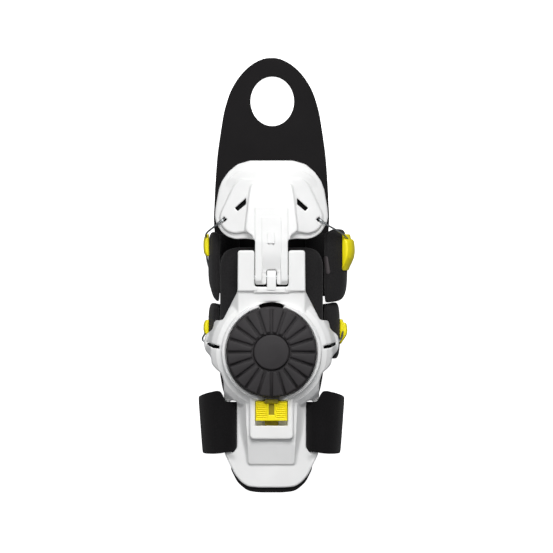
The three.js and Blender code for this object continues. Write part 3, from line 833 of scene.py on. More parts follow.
def polyline(name: str, points: Array) -> Piece:
    """A mesh of edges along points in millimetres."""
    mesh = bpy.data.meshes.new(name)
    edges = [(i, i + 1) for i in range(len(points) - 1)]
    mesh.from_pydata((np.asarray(points, float) * MM).tolist(), edges, [])
    line = bpy.data.objects.new(name, mesh)
    bpy.context.scene.collection.objects.link(line)
    return line


@dataclass(frozen=True)
class WireRope:
    """A cable of twisted wires: a lobed profile swept along a line while it turns."""

    radius_mm: float = 0.7
    wires: int = 6
    lay_mm: float = 7.0

    def sweep(self, name: str, line: Array, material: bpy.types.Material) -> Piece:
        """The rope along a line of points in millimetres."""
        nodes = NodeTree(
            "wire_rope",
            {
                "Radius": ("NodeSocketFloat", self.radius_mm * MM),
                "Groove": ("NodeSocketFloat", 0.72 * self.radius_mm * MM),
                "Wires": ("NodeSocketInt", self.wires),
                "Step": ("NodeSocketFloat", 0.6 * MM),
                "Turn": ("NodeSocketFloat", 2 * math.pi * 0.6 / self.lay_mm),
                "Material": ("NodeSocketMaterial", material),
            },
        )
        curve = nodes.add("GeometryNodeMeshToCurve", links={"Mesh": nodes.given("Geometry")})
        links = {"Curve": curve.outputs[0], "Length": nodes.given("Step")}
        even = nodes.add("GeometryNodeResampleCurve", {"mode": "LENGTH"}, links)
        index = nodes.add("GeometryNodeInputIndex")
        turned = maths(nodes.tree, "MULTIPLY", index.outputs[0], nodes.given("Turn"))
        twisted = nodes.add("GeometryNodeSetCurveTilt", links={"Curve": even.outputs[0], "Tilt": turned})
        profile = nodes.add(
            "GeometryNodeCurveStar",
            links={
                "Points": nodes.given("Wires"),
                "Inner Radius": nodes.given("Groove"),
                "Outer Radius": nodes.given("Radius"),
            },
        )
        rope = nodes.add(
            "GeometryNodeCurveToMesh",
            {"Fill Caps": True},
            {"Curve": twisted.outputs[0], "Profile Curve": profile.outputs["Curve"]},
        )
        smooth = nodes.add("GeometryNodeSetShadeSmooth", links={"Geometry": rope.outputs[0]})
        return nodes.bake(polyline(name + "_line", line), name, smooth.outputs[0])


# The hard pieces


@dataclass
class ForearmFrame:
    """The white shell along the forearm, with hinge cheeks, dial ring, horns, latch housing and slots."""

    cheek_top: float = 60.0
    neck_top: float = 57.6
    ring_outer_r: float = 32.7
    ring_inner_r: float = 30.5
    ring_top: float = 60.6
    shoulder_r: float = 36.4
    flank_r: float = 40.0
    shoulder_top: float = 56.6
    housing_half_width: float = 14.3
    housing_top: float = 58.0
    window: tuple[float, float, float, float] = (-10.7, 10.7, -99.8, -83.4)
    window_floor: float = 51.0
    spine_r: float = 73.5
    horn_r: float = 69.5
    horn_rise: float = 0.5
    trough_depth: float = 2.2
    lip_rise: float = 1.7
    neck_dip: float = 5.0

    def outline(self) -> Array:
        """The shell from above, with the recess between the cheeks."""
        half = [
            (11.2, 15.6), (22.1, 15.6), (22.3, -11.4), (25.6, -17.8), (32.0, -30.4), (37.6, -30.6),
            (38.7, -36.4), (43.9, -40.5), (44.6, -45.6), (43.9, -50.3), (39.9, -54.5), (39.3, -59.5),
            (36.2, -62.8), (33.3, -65.1), (31.5, -70.6), (31.3, -83.6), (30.9, -118.4), (27.7, -125.0),
            (24.3, -132.0), (20.0, -137.2), (15.2, -140.1), (8.0, -140.7),
        ]
        recess = [(-11.2, -8.4), (11.2, -8.4)]
        loop = np.array([(-x, y) for x, y in reversed(half)] + recess + half, float)
        loop = facing(loop, True)
        return subdivided(rounded(loop, 2.0), 0.6)

    def slots(self) -> list[Array]:
        """The strap's slots, the cables' slots in the horns and the gap between the neck and the dial."""
        strap = np.array([(22.8, -83.6), (27.3, -83.2), (27.3, -117.6), (25.6, -117.6), (22.8, -114.8)])
        strap = facing(rounded(strap, 1.6), True)
        horn = [(34.2, -47.4), (42.4, -44.9), (42.2, -46.9), (38.4, -48.7), (34.4, -49.2)]
        horn = facing(rounded(np.array(horn), 0.35), True)
        right = [subdivided(strap, 0.6), subdivided(horn, 0.35)]
        neck = [
            (-8.6, -21.0), (-5.6, -19.2), (0.0, -18.4), (5.6, -19.2), (8.6, -21.0), (6.6, -23.2),
            (-6.6, -23.2),
        ]
        neck = subdivided(facing(rounded(np.array(neck), 0.6), True), 0.5)
        return right + [loop * (-1, 1) for loop in right] + [neck]

    def horn(self, side: int) -> Array:
        """The raised part of a horn."""
        loop = [
            (29.0, -37.0), (34.0, -37.6), (39.5, -38.6), (46.5, -38.0), (47.5, -46.0), (46.5, -50.6),
            (40.4, -52.8), (29.0, -52.8),
        ]
        return on_side(loop, side, 2.0)

    def trough(self, side: int) -> Array:
        """The hollow that leads from a horn's slot towards the dial's ring."""
        loop = [(42.9, -44.3), (36.8, -46.0), (32.9, -46.9), (32.7, -50.6), (37.0, -50.0), (42.6, -47.6)]
        return on_side(loop, side, 0.9)

    def spine(self) -> Array:
        """The crest behind the housing."""
        half = [(17.2, -70.0), (17.1, -82.0), (16.6, -97.0), (15.7, -112.0), (14.9, -125.0)]
        return symmetric(half, 1.6)

    def housing(self) -> Array:
        """The boss round the release catch."""
        w = self.housing_half_width
        return rounded(box_loop(-w, w, -108.8, -70.0), 3.3)

    def lip(self) -> Array:
        """The bright lip across the neck, just behind the hinge."""
        return rounded(box_loop(-12.0, 12.0, -12.4, -6.0), 0.8)

    def cheek(self, side: int) -> Array:
        """One hinge cheek, carried past the outline on three sides."""
        loop = box_loop(9.0, 25.0, -11.4, 19.0) * (side, 1)
        return facing(rounded(loop, 0.6), True)

    def opening(self) -> Array:
        """The window that the catch slides in."""
        x0, x1, y0, y1 = self.window
        return rounded(box_loop(x0, x1, y0, y1), 0.7)

    def nose_gap(self) -> Array:
        """The gap in front of the window, where the catch's nose passes."""
        return box_loop(-4.8, 4.8, -86.0, -81.0)

    def crest(self, points: Array, base: Array) -> Array:
        """The spine: a crest that falls towards the tail between two hollow flanks."""
        x, y = points[:, 0], points[:, 1]
        fall = np.interp(y, [-126, -120, -113, -106, -98], [6.0, 4.1, 1.8, 0.4, 0.0])
        ridge = np.maximum(arch(x, self.spine_r, ARCH_AXIS_Z) - fall, base)
        width = np.interp(y, [-126, -118, -111, -104, -88, -78], [1.6, 2.4, 3.6, 4.9, 5.6, 6.4])
        away = np.clip(-signed_distance(points, self.spine()) / width, 0, 1)
        return base + (ridge - base) * (1 - away) ** 1.7

    def top(self, points: Array) -> Array:
        """The height of the shell's top."""
        x, y = points[:, 0], points[:, 1]
        z = arch(x, SHELL_OUTER_R, ARCH_AXIS_Z)
        radius = np.hypot(x, y - DIAL_Y)
        flank = self.neck_top - 1.55 * np.maximum(np.abs(x) - 21.8, 0) - 1.1 * np.maximum(-25.5 - y, 0)
        z = smooth_max(z, np.where(y < 0, flank - 0.09 * np.maximum(-12.4 - y, 0), 0), 1.0)
        z = np.where(y < -75, self.crest(points, z), z)
        z = z - 1.5 * np.exp(-((np.abs(x) - 27.6) ** 2) / 8 - (y + 122.0) ** 2 / 7)
        for side in SIGNS:
            top = arch(x, self.horn_r, ARCH_AXIS_Z) + self.horn_rise
            z = raised(z, top, signed_distance(points, self.horn(side)), 1.3, 2.4)
            z = sunk(z, top - self.trough_depth, signed_distance(points, self.trough(side)), 0.5, 0.9)
            cheeked = raised(z, self.cheek_top, signed_distance(points, self.cheek(side)), 1.0, 1.0)
            z = np.where(y > -12.6, cheeked, z)
        z = raised(z, self.neck_top + self.lip_rise, signed_distance(points, self.lip()), 0.7, 0.6)
        z = raised(z, self.housing_top, signed_distance(points, self.housing()), 1.3, 1.2)
        shoulder = self.shoulder_top - 0.55 * (radius - self.ring_outer_r)
        shoulder = shoulder - 0.6 * np.maximum(radius - self.shoulder_r, 0)
        shoulder = shoulder - 3.0 * np.maximum(radius - self.flank_r, 0)
        z = smooth_max(z, shoulder, 1.0)
        z = raised(z, self.ring_top, self.ring_outer_r - radius, 0.6, 0.9)
        dip = self.neck_dip * np.exp(-((x / 6.8) ** 4))
        z = z - dip * np.clip((-17.6 - y) / 3.0, 0, 1) ** 1.5 * (radius < 36)
        z = sunk(z, DIAL_BASE_Z - 0.6, self.ring_inner_r - radius, 0.3, 0.3)
        z = sunk(z, self.window_floor, signed_distance(points, self.opening()), 0.45, 0.4)
        return sunk(z, self.window_floor + 0.4, signed_distance(points, self.nose_gap()), 0.25, 0.2)

    def underside(self, points: Array) -> Array:
        """The height of the shell's underside."""
        return arch(points[:, 0], SHELL_INNER_R, ARCH_AXIS_Z)

    def build(self, finishes: Finishes) -> None:
        """Makes the shell with its knuckle."""
        radii = (self.ring_outer_r, self.ring_inner_r, self.shoulder_r)
        creases = [
            *(circle(0, DIAL_Y, r, count=300) for r in radii),
            self.spine(), self.housing(), self.lip(), self.opening(), self.nose_gap(),
            *(loop(side) for loop in (self.horn, self.trough, self.cheek) for side in SIGNS),
        ]
        shell = ReliefShell(self.outline(), self.top, self.underside, self.slots(), creases, spacing=0.85)
        parts = [mesh_piece("forearm_frame", *shell.build(), finishes.white), self.knuckle(finishes)]
        settle(joined("forearm_frame", parts), Body.FOREARM, "forearm_frame")

    def knuckle(self, finishes: Finishes) -> Piece:
        """The middle knuckle of the hinge, a rounded eye on a short web."""
        radius, half = 4.6, 3.0
        angle = np.linspace(-math.pi / 2, math.pi / 2, 25)
        side = [(HINGE_Y + radius * math.cos(a), HINGE_Z + radius * math.sin(a)) for a in angle]
        side += [(-10.5, HINGE_Z + radius), (-10.5, HINGE_Z - radius)]
        rings = []
        middle = np.array([HINGE_Y, HINGE_Z])
        ends = ((-half, 0.5), (-half + 0.15, 0.15), (-half + 0.5, 0))
        for x, inset in ends + tuple((-x, inset) for x, inset in reversed(ends)):
            scale = (radius - inset) / radius
            rings.append(np.insert(middle + (np.array(side) - middle) * scale, 0, x, axis=1))
        return mesh_piece("knuckle", *lofted(rings), finishes.white)


@dataclass
class HandPlate:
    """The white plate over the back of the hand, with the arm down to the hinge."""

    arm_half_width: float = 10.8
    notch_half_width: float = 3.4
    notch_front: float = 2.9
    barrel_r: float = 5.0
    platform_r: float = 79.6
    ridge_rise: float = 0.7
    tread_rise: float = 1.15
    button_rise: float = 1.75
    mark_rise: float = 0.2
    gutter_depth: float = 1.0

    def outline(self) -> Array:
        """The plate and its arm from above."""
        w, n = self.arm_half_width, self.notch_half_width
        half = [
            (n, self.notch_front), (n, HINGE_Y - self.barrel_r), (w, HINGE_Y - self.barrel_r), (w, 22.6),
            (16.5, 23.3), (23.6, 23.0), (28.6, 24.4), (32.4, 27.2), (36.3, 33.0), (37.3, 38.0), (36.8, 43.9),
            (34.8, 55.4), (32.7, 61.2), (28.3, 67.4), (22.4, 72.3), (14.1, 74.7),
        ]
        loop = np.array(half + [(-x, y) for x, y in reversed(half)], float)
        return subdivided(rounded(facing(loop, True), 1.6), 0.6)

    def openings(self) -> list[Array]:
        """The slots and the cable holes."""
        slot = rounded(np.array([(24.1, 43.4), (22.2, 41.4), (16.8, 45.9), (16.8, 49.9)]), 0.5)
        hole = rounded(np.array([(29.3, 36.0), (31.3, 37.6), (32.8, 35.9), (30.9, 34.2)]), 0.4)
        right = [facing(subdivided(slot, 0.45), True), facing(subdivided(hole, 0.3), True)]
        return right + [loop * (-1, 1) for loop in right]

    def band(self) -> Array:
        """The first low step, along the front edge only."""
        half = [(17.5, 68.4), (24.5, 66.2), (29.0, 61.8), (30.6, 57.0), (26.0, 55.0)]
        return symmetric(half, 2.5)

    def platform(self) -> Array:
        """The raised field, whose lower corners bulge into two lobes."""
        half = [
            (20.5, 62.8), (24.8, 58.8), (29.2, 49.4), (32.8, 42.0), (34.1, 38.4), (33.7, 32.8), (29.8, 28.2),
            (24.0, 26.4), (17.5, 27.8), (13.0, 26.6),
        ]
        return symmetric(half, 3.2)

    def rib(self) -> Array:
        """The middle rib that runs down into the arm."""
        half = [
            (12.4, 59.4), (13.9, 57.6), (15.1, 50.0), (15.9, 42.0), (17.1, 31.5), (17.1, 28.6), (15.0, 26.6),
            (12.6, 25.2), (12.0, 21.0), (12.0, -12.0),
        ]
        return symmetric(half, 1.6)

    def ridge(self) -> Array:
        """The first step on the rib, as wide as the arm."""
        half = [(10.2, 44.2), (10.9, 43.0), (10.9, 20.0), (13.0, 18.0), (13.0, -12.0)]
        return symmetric(half, 0.8)

    def tread(self) -> Array:
        """The second step, the strip along the arm's middle."""
        half = [(5.9, 37.8), (6.4, 37.0), (6.4, 1.0)]
        return symmetric(half, 0.5)

    def button(self) -> Array:
        """The long button on the arm, round in front and square behind."""
        half = [(0.9, 28.2), (2.0, 27.4), (2.5, 25.8), (2.5, 19.9)]
        return facing(rounded(mirrored(half), 0.5) - (0.35, 0), True)

    def pits(self) -> list[Array]:
        """Two small marks at the button's foot."""
        return [box_loop(x, x + 1.1, 19.3, 19.9) for x in (-2.3, 0.6)]

    def gutter(self, side: int) -> Array:
        """The groove that a cable lies in, from its hole to the plate's edge."""
        loop = [(31.2, 34.3), (32.8, 35.9), (39.5, 31.2), (38.0, 28.4)]
        return on_side(loop, side, 0.4)

    def crest(self, y: Array) -> Array:
        """The height of the middle rib along the hand."""
        return np.interp(y, [-8.0, 21.0, 34.0, 48.0, 60.0, 72.0], [59.4, 59.4, 58.2, 56.6, 54.6, 52.6])

    def top(self, points: Array) -> Array:
        """The height of the plate's top."""
        x, y = points[:, 0], points[:, 1]
        z = arch(x, PLATE_OUTER_R, HAND_AXIS_Z) - 0.035 * np.maximum(y - 62, 0) ** 1.6
        low_step = 0.6 * np.clip((y - 57) / 6, 0, 1)
        z = raised(z, z + low_step, signed_distance(points, self.band()), 0.7, 0.6)
        field_top = arch(x, self.platform_r, HAND_AXIS_Z) + np.interp(y, [27, 40, 62], [1.3, 0.9, -0.3])
        z = raised(z, field_top, signed_distance(points, self.platform()), 1.3, 0.8)
        z = raised(z, self.crest(y), signed_distance(points, self.rib()), 1.2, 1.5)
        z = raised(z, self.crest(y) + self.ridge_rise, signed_distance(points, self.ridge()), 0.5, 0.4)
        fall = 2.6 * np.clip((14 - y) / 11, 0, 1) ** 1.6
        z = raised(z, self.crest(y) + self.tread_rise, signed_distance(points, self.tread()), 0.4, 0.3)
        z = z - np.where(np.abs(x) < 6.4, fall, 0) * np.clip((6.4 - np.abs(x)) / 0.5, 0, 1)
        z = raised(z, self.crest(y) + self.button_rise, signed_distance(points, self.button()), 0.5, 0.2)
        for pit in self.pits():
            z = sunk(z, self.crest(y) + self.mark_rise, signed_distance(points, pit), 0.1, 0.1)
        for side in SIGNS:
            floor = arch(x, PLATE_OUTER_R - self.gutter_depth, HAND_AXIS_Z)
            z = sunk(z, floor, signed_distance(points, self.gutter(side)), 0.5, 0.5)
        barrel = HINGE_Z + np.sqrt(np.maximum(self.barrel_r**2 - (y - HINGE_Y) ** 2, 0))
        return np.where(y < HINGE_Y, np.minimum(z, barrel), z)

    def underside(self, points: Array) -> Array:
        """The height of the plate's underside."""
        x, y = points[:, 0], points[:, 1]
        plate = arch(x, PLATE_INNER_R, HAND_AXIS_Z)
        drop = np.sqrt(np.maximum(self.barrel_r**2 - np.minimum(y - HINGE_Y, 0) ** 2, 0))
        arm = HINGE_Z - drop
        return np.where(y > 24.5, plate, np.where(np.abs(x) > 11, plate, arm))

    def build(self, finishes: Finishes) -> None:
        """Makes the plate."""
        creases = [
            self.band(), self.platform(), self.rib(), self.ridge(), self.tread(), self.button(), *self.pits(),
            *(self.gutter(side) for side in SIGNS),
        ]
        shell = ReliefShell(
            self.outline(), self.top, self.underside, self.openings(), creases, edge=0.9, spacing=0.8
        )
        settle(mesh_piece("hand_plate", *shell.build(), finishes.white), Body.HAND, "hand_plate")


@dataclass
class Dial:
    """The tightening dial: a dark disc with a ring of raised petals, and its cap."""

    radius: float = 29.9
    petals: int = 20
    inner_r: float = 13.0
    outer_r: float = 29.0
    bore_r: float = 4.3
    bore_top: float = 66.2
    petal_depth: float = 2.6
    cap_r: float = 11.6
    cap_base: float = 66.5

    def dome(self, r: Array | float) -> Array:
        """The height of the petals' tops."""
        return DIAL_TOP_Z - 0.25 - 0.0021 * np.maximum(np.asarray(r, float) - 10, 0) ** 2.15

    def petal(self) -> Piece:
        """One petal, a rounded wedge pointing along X."""
        half_angle = math.pi / self.petals
        inner = self.inner_r + np.array([0, 0.06, 0.25, 0.6])
        outer = self.outer_r - np.array([0.9, 0.5, 0.2, 0.05, 0])
        radii = np.concatenate([inner, np.linspace(14.2, 28.2, 12), outer])
        across = np.sin(np.linspace(-math.pi / 2, math.pi / 2, 17))
        points, rows = [], []
        for r in radii:
            gap = 0.72 + 0.008 * (r - self.inner_r)
            half = r * half_angle - gap
            row = []
            for s in across:
                side = half * s
                d = min(half - abs(side), r - self.inner_r, self.outer_r - r)
                drop = float(fillet_drop(np.array(max(d, 0.0)), 0.6))
                crown = 0.28 * (1 - s * s)
                row.append(len(points))
                height = float(self.dome(r)) - drop + crown - 0.25
                points.append((math.sqrt(max(r * r - side * side, 0.01)), side, height))
            rows.append(row)
        base = len(points)
        points += [(x, y, z - self.petal_depth) for x, y, z in points]
        faces = []
        for i in range(len(rows) - 1):
            for k in range(len(across) - 1):
                a, b, c, d = rows[i][k], rows[i + 1][k], rows[i + 1][k + 1], rows[i][k + 1]
                faces.append((a, b, c, d))
                faces.append((base + d, base + c, base + b, base + a))
        rim = rows[0][:-1] + [r[-1] for r in rows[:-1]] + rows[-1][:0:-1] + [r[0] for r in rows[:0:-1]]
        for i, a in enumerate(rim):
            b = rim[(i + 1) % len(rim)]
            faces.append((a, b, base + b, base + a))
        return template("petal", np.array(points), faces)

    def build(self, finishes: Finishes) -> None:
        """Makes the dial's disc, petals and cap."""
        floor = DIAL_TOP_Z - 1.9
        profile = [
            (self.bore_r, DIAL_BASE_Z), (self.radius - 0.3, DIAL_BASE_Z), (self.radius, DIAL_BASE_Z + 0.3),
            (self.radius, DIAL_TOP_Z - 5.6), (self.radius - 0.25, DIAL_TOP_Z - 5.1),
            (self.outer_r - 0.2, DIAL_TOP_Z - 4.6), (26.0, DIAL_TOP_Z - 3.6), (20.0, floor - 0.5),
            (13.4, floor), (12.3, floor), (12.0, floor - 0.3), (12.0, self.bore_top),
            (self.bore_r, self.bore_top),
        ]
        disc = mesh_piece("dial_disc", *self.bored(profile), finishes.charcoal)
        nodes = NodeTree(
            "petal_ring",
            {
                "Count": ("NodeSocketInt", self.petals),
                "Turn": ("NodeSocketFloat", 2 * math.pi / self.petals),
                "Petal": ("NodeSocketObject", self.petal()),
                "Material": ("NodeSocketMaterial", finishes.charcoal),
            },
        )
        spots = nodes.add(
            "GeometryNodeMeshLine",
            {"Offset": (0.0, 0.0, 0.0), "Start Location": (0.0, DIAL_Y * MM, 0.0)},
            {"Count": nodes.given("Count")},
        )
        index = nodes.add("GeometryNodeInputIndex")
        first = math.pi / 2 + math.pi / self.petals
        angle = maths(nodes.tree, "MULTIPLY_ADD", index.outputs[0], nodes.given("Turn"), first)
        turn = nodes.add("ShaderNodeCombineXYZ", links={"Z": angle})
        shape = nodes.add("GeometryNodeObjectInfo", links={"Object": nodes.given("Petal")})
        ring = nodes.add(
            "GeometryNodeInstanceOnPoints",
            links={
                "Points": spots.outputs[0],
                "Instance": shape.outputs["Geometry"],
                "Rotation": turn.outputs[0],
            },
        )
        petals = nodes.bake(polyline("petal_line", np.zeros((2, 3))), "petals", ring.outputs[0])
        settle(joined("dial", [disc, petals]), Body.DIAL, "dial")
        top, base, r = DIAL_TOP_Z + 0.2, self.cap_base, self.cap_r
        cap = [
            (0.01, base), (r - 0.2, base), (r, 66.7), (r, top - 0.9), (r - 0.18, top - 0.4),
            (r - 0.6, top - 0.1), (r - 1.2, top), (r - 1.9, top + 0.02), (8.0, top + 0.3),
            (4.0, top + 0.5), (0.01, top + 0.56),
        ]
        settle(mesh_piece("dial_cap", *revolved(cap, DIAL_Y, 96), finishes.charcoal), Body.DIAL, "dial_cap")

    def bored(self, profile: Half) -> Solid:
        """A ring of revolution that closes on its bore."""
        angle = np.linspace(0, 2 * np.pi, 160, endpoint=False)
        rings = [
            np.array([(r * math.cos(a), DIAL_Y + r * math.sin(a), z) for r, z in profile]) for a in angle
        ]
        return lofted(rings, closed=True)


@dataclass
class ReleaseLatch:
    """The yellow sliding catch: a ribbed block on a rail whose nose stands against the dial."""

    half_width: float = 10.4
    back: float = -96.6
    front: float = -83.7
    top_z: float = 59.6
    floor: float = 51.3
    rail_half_width: float = 4.5
    rail_top: float = 53.6
    ribs: int = 7
    pitch: float = 1.36
    pad_depth: float = 0.8
    pad_x: tuple[float, float] = (2.9, 9.8)
    rib_x: float = 6.35
    rib_half: float = 3.35
    rib_start: float = -94.0
    nose_rise: float = 1.4
    foot: float = 1.6

    def block(self, finishes: Finishes) -> Piece:
        """The block, sunk where the ribs stand and open over the rail."""
        outline = subdivided(
            rounded(box_loop(-self.half_width, self.half_width, self.back, self.front), 0.7), 0.5
        )
        inner, outer = self.pad_x
        pads = [
            rounded(box_loop(*sorted((side * inner, side * outer)), -94.9, self.front - 0.7), 0.4)
            for side in SIGNS
        ]
        slot = subdivided(rounded(box_loop(-1.8, 1.8, -92.7, -85.4), 0.4), 0.5)

        def top(points: Array) -> Array:
            """The height of the block."""
            z = np.full(len(points), self.top_z)
            for pad in pads:
                z = sunk(z, self.top_z - self.pad_depth, signed_distance(points, pad), 0.15, 0.15)
            return z

        shell = ReliefShell(outline, top, level(self.floor), [slot], pads, edge=0.5, spacing=0.7)
        return mesh_piece("block", *shell.build(), finishes.yellow)

    def grip(self, finishes: Finishes) -> Piece:
        """The ribs on both pads."""
        half = self.rib_half
        rings = []
        profile = [
            (-0.45, -0.5), (-0.4, 0.4), (-0.22, 0.68), (0, 0.76), (0.22, 0.68), (0.4, 0.4), (0.45, -0.5)
        ]
        ends = ((-half, 0.4), (-half + 0.15, 0.85), (-half + 0.4, 1.0))
        for x, s in ends + tuple((-x, s) for x, s in reversed(ends)):
            rings.append(np.array([(x, y * s, z * s) for y, z in profile]))
        rib = template("rib", *lofted(rings))
        nodes = NodeTree(
            "grip_ribs",
            {
                "Ribs": ("NodeSocketInt", self.ribs),
                "Pitch": ("NodeSocketVector", (0.0, self.pitch * MM, 0.0)),
                "Rib": ("NodeSocketObject", rib),
                "Material": ("NodeSocketMaterial", finishes.yellow),
            },
        )
        shape = nodes.add("GeometryNodeObjectInfo", links={"Object": nodes.given("Rib")})
        both = nodes.add("GeometryNodeJoinGeometry")
        for side in SIGNS:
            start = (side * self.rib_x * MM, self.rib_start * MM, (self.top_z - 0.75) * MM)
            spots = nodes.add(
                "GeometryNodeMeshLine",
                {"Start Location": start},
                {"Count": nodes.given("Ribs"), "Offset": nodes.given("Pitch")},
            )
            ribs = nodes.add(
                "GeometryNodeInstanceOnPoints",
                links={"Points": spots.outputs[0], "Instance": shape.outputs["Geometry"]},
            )
            nodes.tree.links.new(ribs.outputs[0], both.inputs[0])
        return nodes.bake(polyline("rib_line", np.zeros((2, 3))), "grip", both.outputs[0])

    def rail(self, finishes: Finishes) -> Piece:
        """The rail under the block and its nose at the dial, in the olive of painted shade."""
        w = self.rail_half_width
        outline = subdivided(rounded(box_loop(-w, w, -103.4, -82.3), 1.0), 0.5)
        nose = rounded(box_loop(-w - 1, w + 1, -85.2, -80), 0.8)
        # A plug rises into the block's slot, so the slot's floor shows the rail's painted shade.
        plug = box_loop(-2.4, 2.4, -93.4, -84.8)

        def top(points: Array) -> Array:
            """The height of the rail."""
            z = np.full(len(points), self.rail_top)
            z = raised(z, self.top_z - 1.5, signed_distance(points, plug), 0.2, 0.2)
            tip = self.top_z + self.nose_rise - 0.05 * points[:, 0] ** 2
            return raised(z, tip, signed_distance(points, nose), 0.7, 0.5)

        shell = ReliefShell(outline, top, level(self.floor), [], [nose], edge=0.4, spacing=0.7)
        return mesh_piece("rail", *shell.build(), finishes.rail)

    def flange(self, finishes: Finishes) -> Piece:
        """The foot that slides in the housing's grooves."""
        w = self.half_width + self.foot
        outline = subdivided(rounded(box_loop(-w, w, self.back, self.front), 0.5), 1.0)
        shell = ReliefShell(outline, level(self.rail_top), level(self.floor), edge=0.3, spacing=2.0)
        return mesh_piece("flange", *shell.build(), finishes.yellow)

    def build(self, finishes: Finishes) -> None:
        """Makes the catch."""
        parts = [self.block(finishes), self.grip(finishes), self.rail(finishes), self.flange(finishes)]
        settle(joined("release_latch", parts), Body.LATCH, "release_latch")


# The soft goods, guides and cables

LINER_HALF = [
    (24.5, 17.5), (31.0, 15.0), (33.9, 8.0), (33.9, -26.0), (34.5, -55.0), (34.0, -66.0), (32.2, -76.0),
    (30.5, -81.0), (21.6, -84.4), (21.6, -117.0), (26.0, -122.0), (27.2, -128.0), (22.4, -137.5),
    (15.8, -143.0), (8.0, -144.0),
]
HAND_PAD_HALF = [
    (13.7, 73.2), (21.6, 70.9), (27.2, 66.3), (31.3, 60.5), (33.3, 55.0), (35.3, 43.7), (35.8, 38.0),
    (34.9, 33.7), (31.5, 28.5), (28.0, 25.8), (23.4, 24.5),
]
TONGUE_HALF = [
    (5.6, 142.5), (11.9, 139.5), (17.2, 135.3), (21.3, 130.7), (24.6, 125.8), (27.2, 120.8), (29.1, 115.6),
    (31.5, 107.0), (33.2, 97.1), (34.7, 87.0), (35.9, 77.5), (37.0, 63.0), (37.7, 49.4), (38.1, 33.0),
    (36.0, 18.0), (31.0, 6.0), (22.0, -3.0), (12.0, -6.0),
]
# Bands, from the back of the hand round to the palm: X, Z, back Y, front Y, thickness
HAND_WINGS = {
    Side.RIGHT: [
        (35.6, 33.8, -18.9, 27.0, 4.4), (40.6, 29.8, -18.4, 29.4, 7.0), (44.2, 25.0, -17.2, 29.7, 9.0),
        (45.6, 18.5, -14.5, 29.2, 9.0), (44.6, 11.5, -14.5, 28.2, 8.4), (39.8, 6.3, -15.0, 27.2, 6.2),
        (32.0, 4.5, -14.4, 26.4, 4.4), (22.5, 4.4, -13.0, 25.6, 4.2),
    ],
    Side.LEFT: [
        (-35.0, 33.6, -18.6, 26.0, 3.6), (-37.0, 30.4, -16.0, 27.6, 5.0), (-37.7, 26.0, -11.5, 27.8, 7.2),
        (-38.0, 19.0, -9.5, 27.6, 7.6), (-37.4, 12.0, -10.5, 27.0, 7.2), (-34.4, 6.4, -12.5, 26.4, 5.8),
        (-29.0, 4.5, -14.4, 26.0, 4.4), (-21.0, 4.4, -13.0, 25.6, 4.2),
    ],
}
WRIST_WINGS = {
    Side.RIGHT: [
        (35.8, 30.4, -53.5, -19.6, 4.2), (38.6, 26.8, -55.0, -19.2, 6.0), (40.7, 22.0, -55.8, -18.8, 8.0),
        (41.0, 16.0, -55.8, -18.8, 8.0), (39.0, 9.8, -55.0, -19.2, 7.4), (33.0, 5.4, -54.0, -20.0, 5.8),
        (25.0, 4.3, -52.5, -21.0, 4.4), (14.5, 4.2, -51.0, -22.5, 4.2),
    ],
    Side.LEFT: [
        (-36.0, 30.4, -53.5, -21.5, 3.6), (-37.0, 26.8, -55.0, -19.8, 5.4), (-37.9, 22.0, -55.6, -19.2, 7.2),
        (-37.9, 16.0, -55.6, -19.2, 7.4), (-36.2, 9.8, -55.0, -19.6, 7.0), (-31.2, 5.4, -54.0, -20.4, 5.6),
        (-24.0, 4.3, -52.5, -21.0, 4.4), (-14.5, 4.2, -51.0, -22.5, 4.2),
    ],
}
# First and last row of the wing under a guide, its back Y, front Y and thickness
HAND_GUIDES = {Side.RIGHT: (3, 8, 2.4, 26.4, 4.8), Side.LEFT: (3, 8, 11.6, 26.4, 3.0)}
WRIST_GUIDES = {Side.RIGHT: (4, 8, -46.2, -29.8, 4.8), Side.LEFT: (3, 7, -40.6, -30.2, 3.0)}
# Right half of the strap, from its inner end, up through the slot and down to the middle underneath
STRAP_HALF = [
    (38.6, 29.6, -111.0, -91.0, 2.2), (34.2, 33.2, -113.0, -88.5, 2.2), (30.4, 35.7, -114.6, -86.4, 2.2),
    (27.0, 37.5, -116.4, -85.2, 2.2), (24.6, 39.4, -117.0, -84.6, 2.2), (24.6, 42.2, -117.0, -84.4, 2.2),
    (27.0, 44.0, -117.0, -84.3, 2.2), (30.4, 43.1, -117.6, -83.4, 2.2), (33.8, 41.0, -118.2, -77.4, 2.2),
    (38.6, 37.6, -118.6, -77.8, 2.2), (42.8, 32.6, -118.6, -79.2, 2.2), (45.2, 26.0, -118.4, -80.4, 2.2),
    (45.8, 19.0, -118.0, -81.4, 2.2), (44.6, 12.0, -118.0, -82.6, 2.2), (41.0, 5.8, -118.0, -84.0, 2.2),
    (35.0, 2.2, -118.0, -84.6, 2.2), (28.0, 1.3, -118.0, -84.6, 2.2), (14.0, 1.1, -118.0, -84.6, 2.2),
]
# Sections of the guides: place from back to front, and height off the wall
RIGHT_GUIDE_SECTION = [
    (0.0, 0.0), (0.0, 0.1), (0.1, 0.3), (0.2, 0.55), (0.34, 0.86), (0.5, 1.0), (0.68, 0.97), (0.8, 0.88),
    (0.85, 0.74), (0.87, 0.46), (0.94, 0.4), (1.0, 0.28), (1.0, 0.0),
]
LEFT_GUIDE_SECTION = [
    (0.0, 0.0), (0.03, 0.5), (0.16, 0.86), (0.4, 1.0), (0.7, 0.98), (0.9, 0.74), (1.0, 0.4), (1.0, 0.0)
]


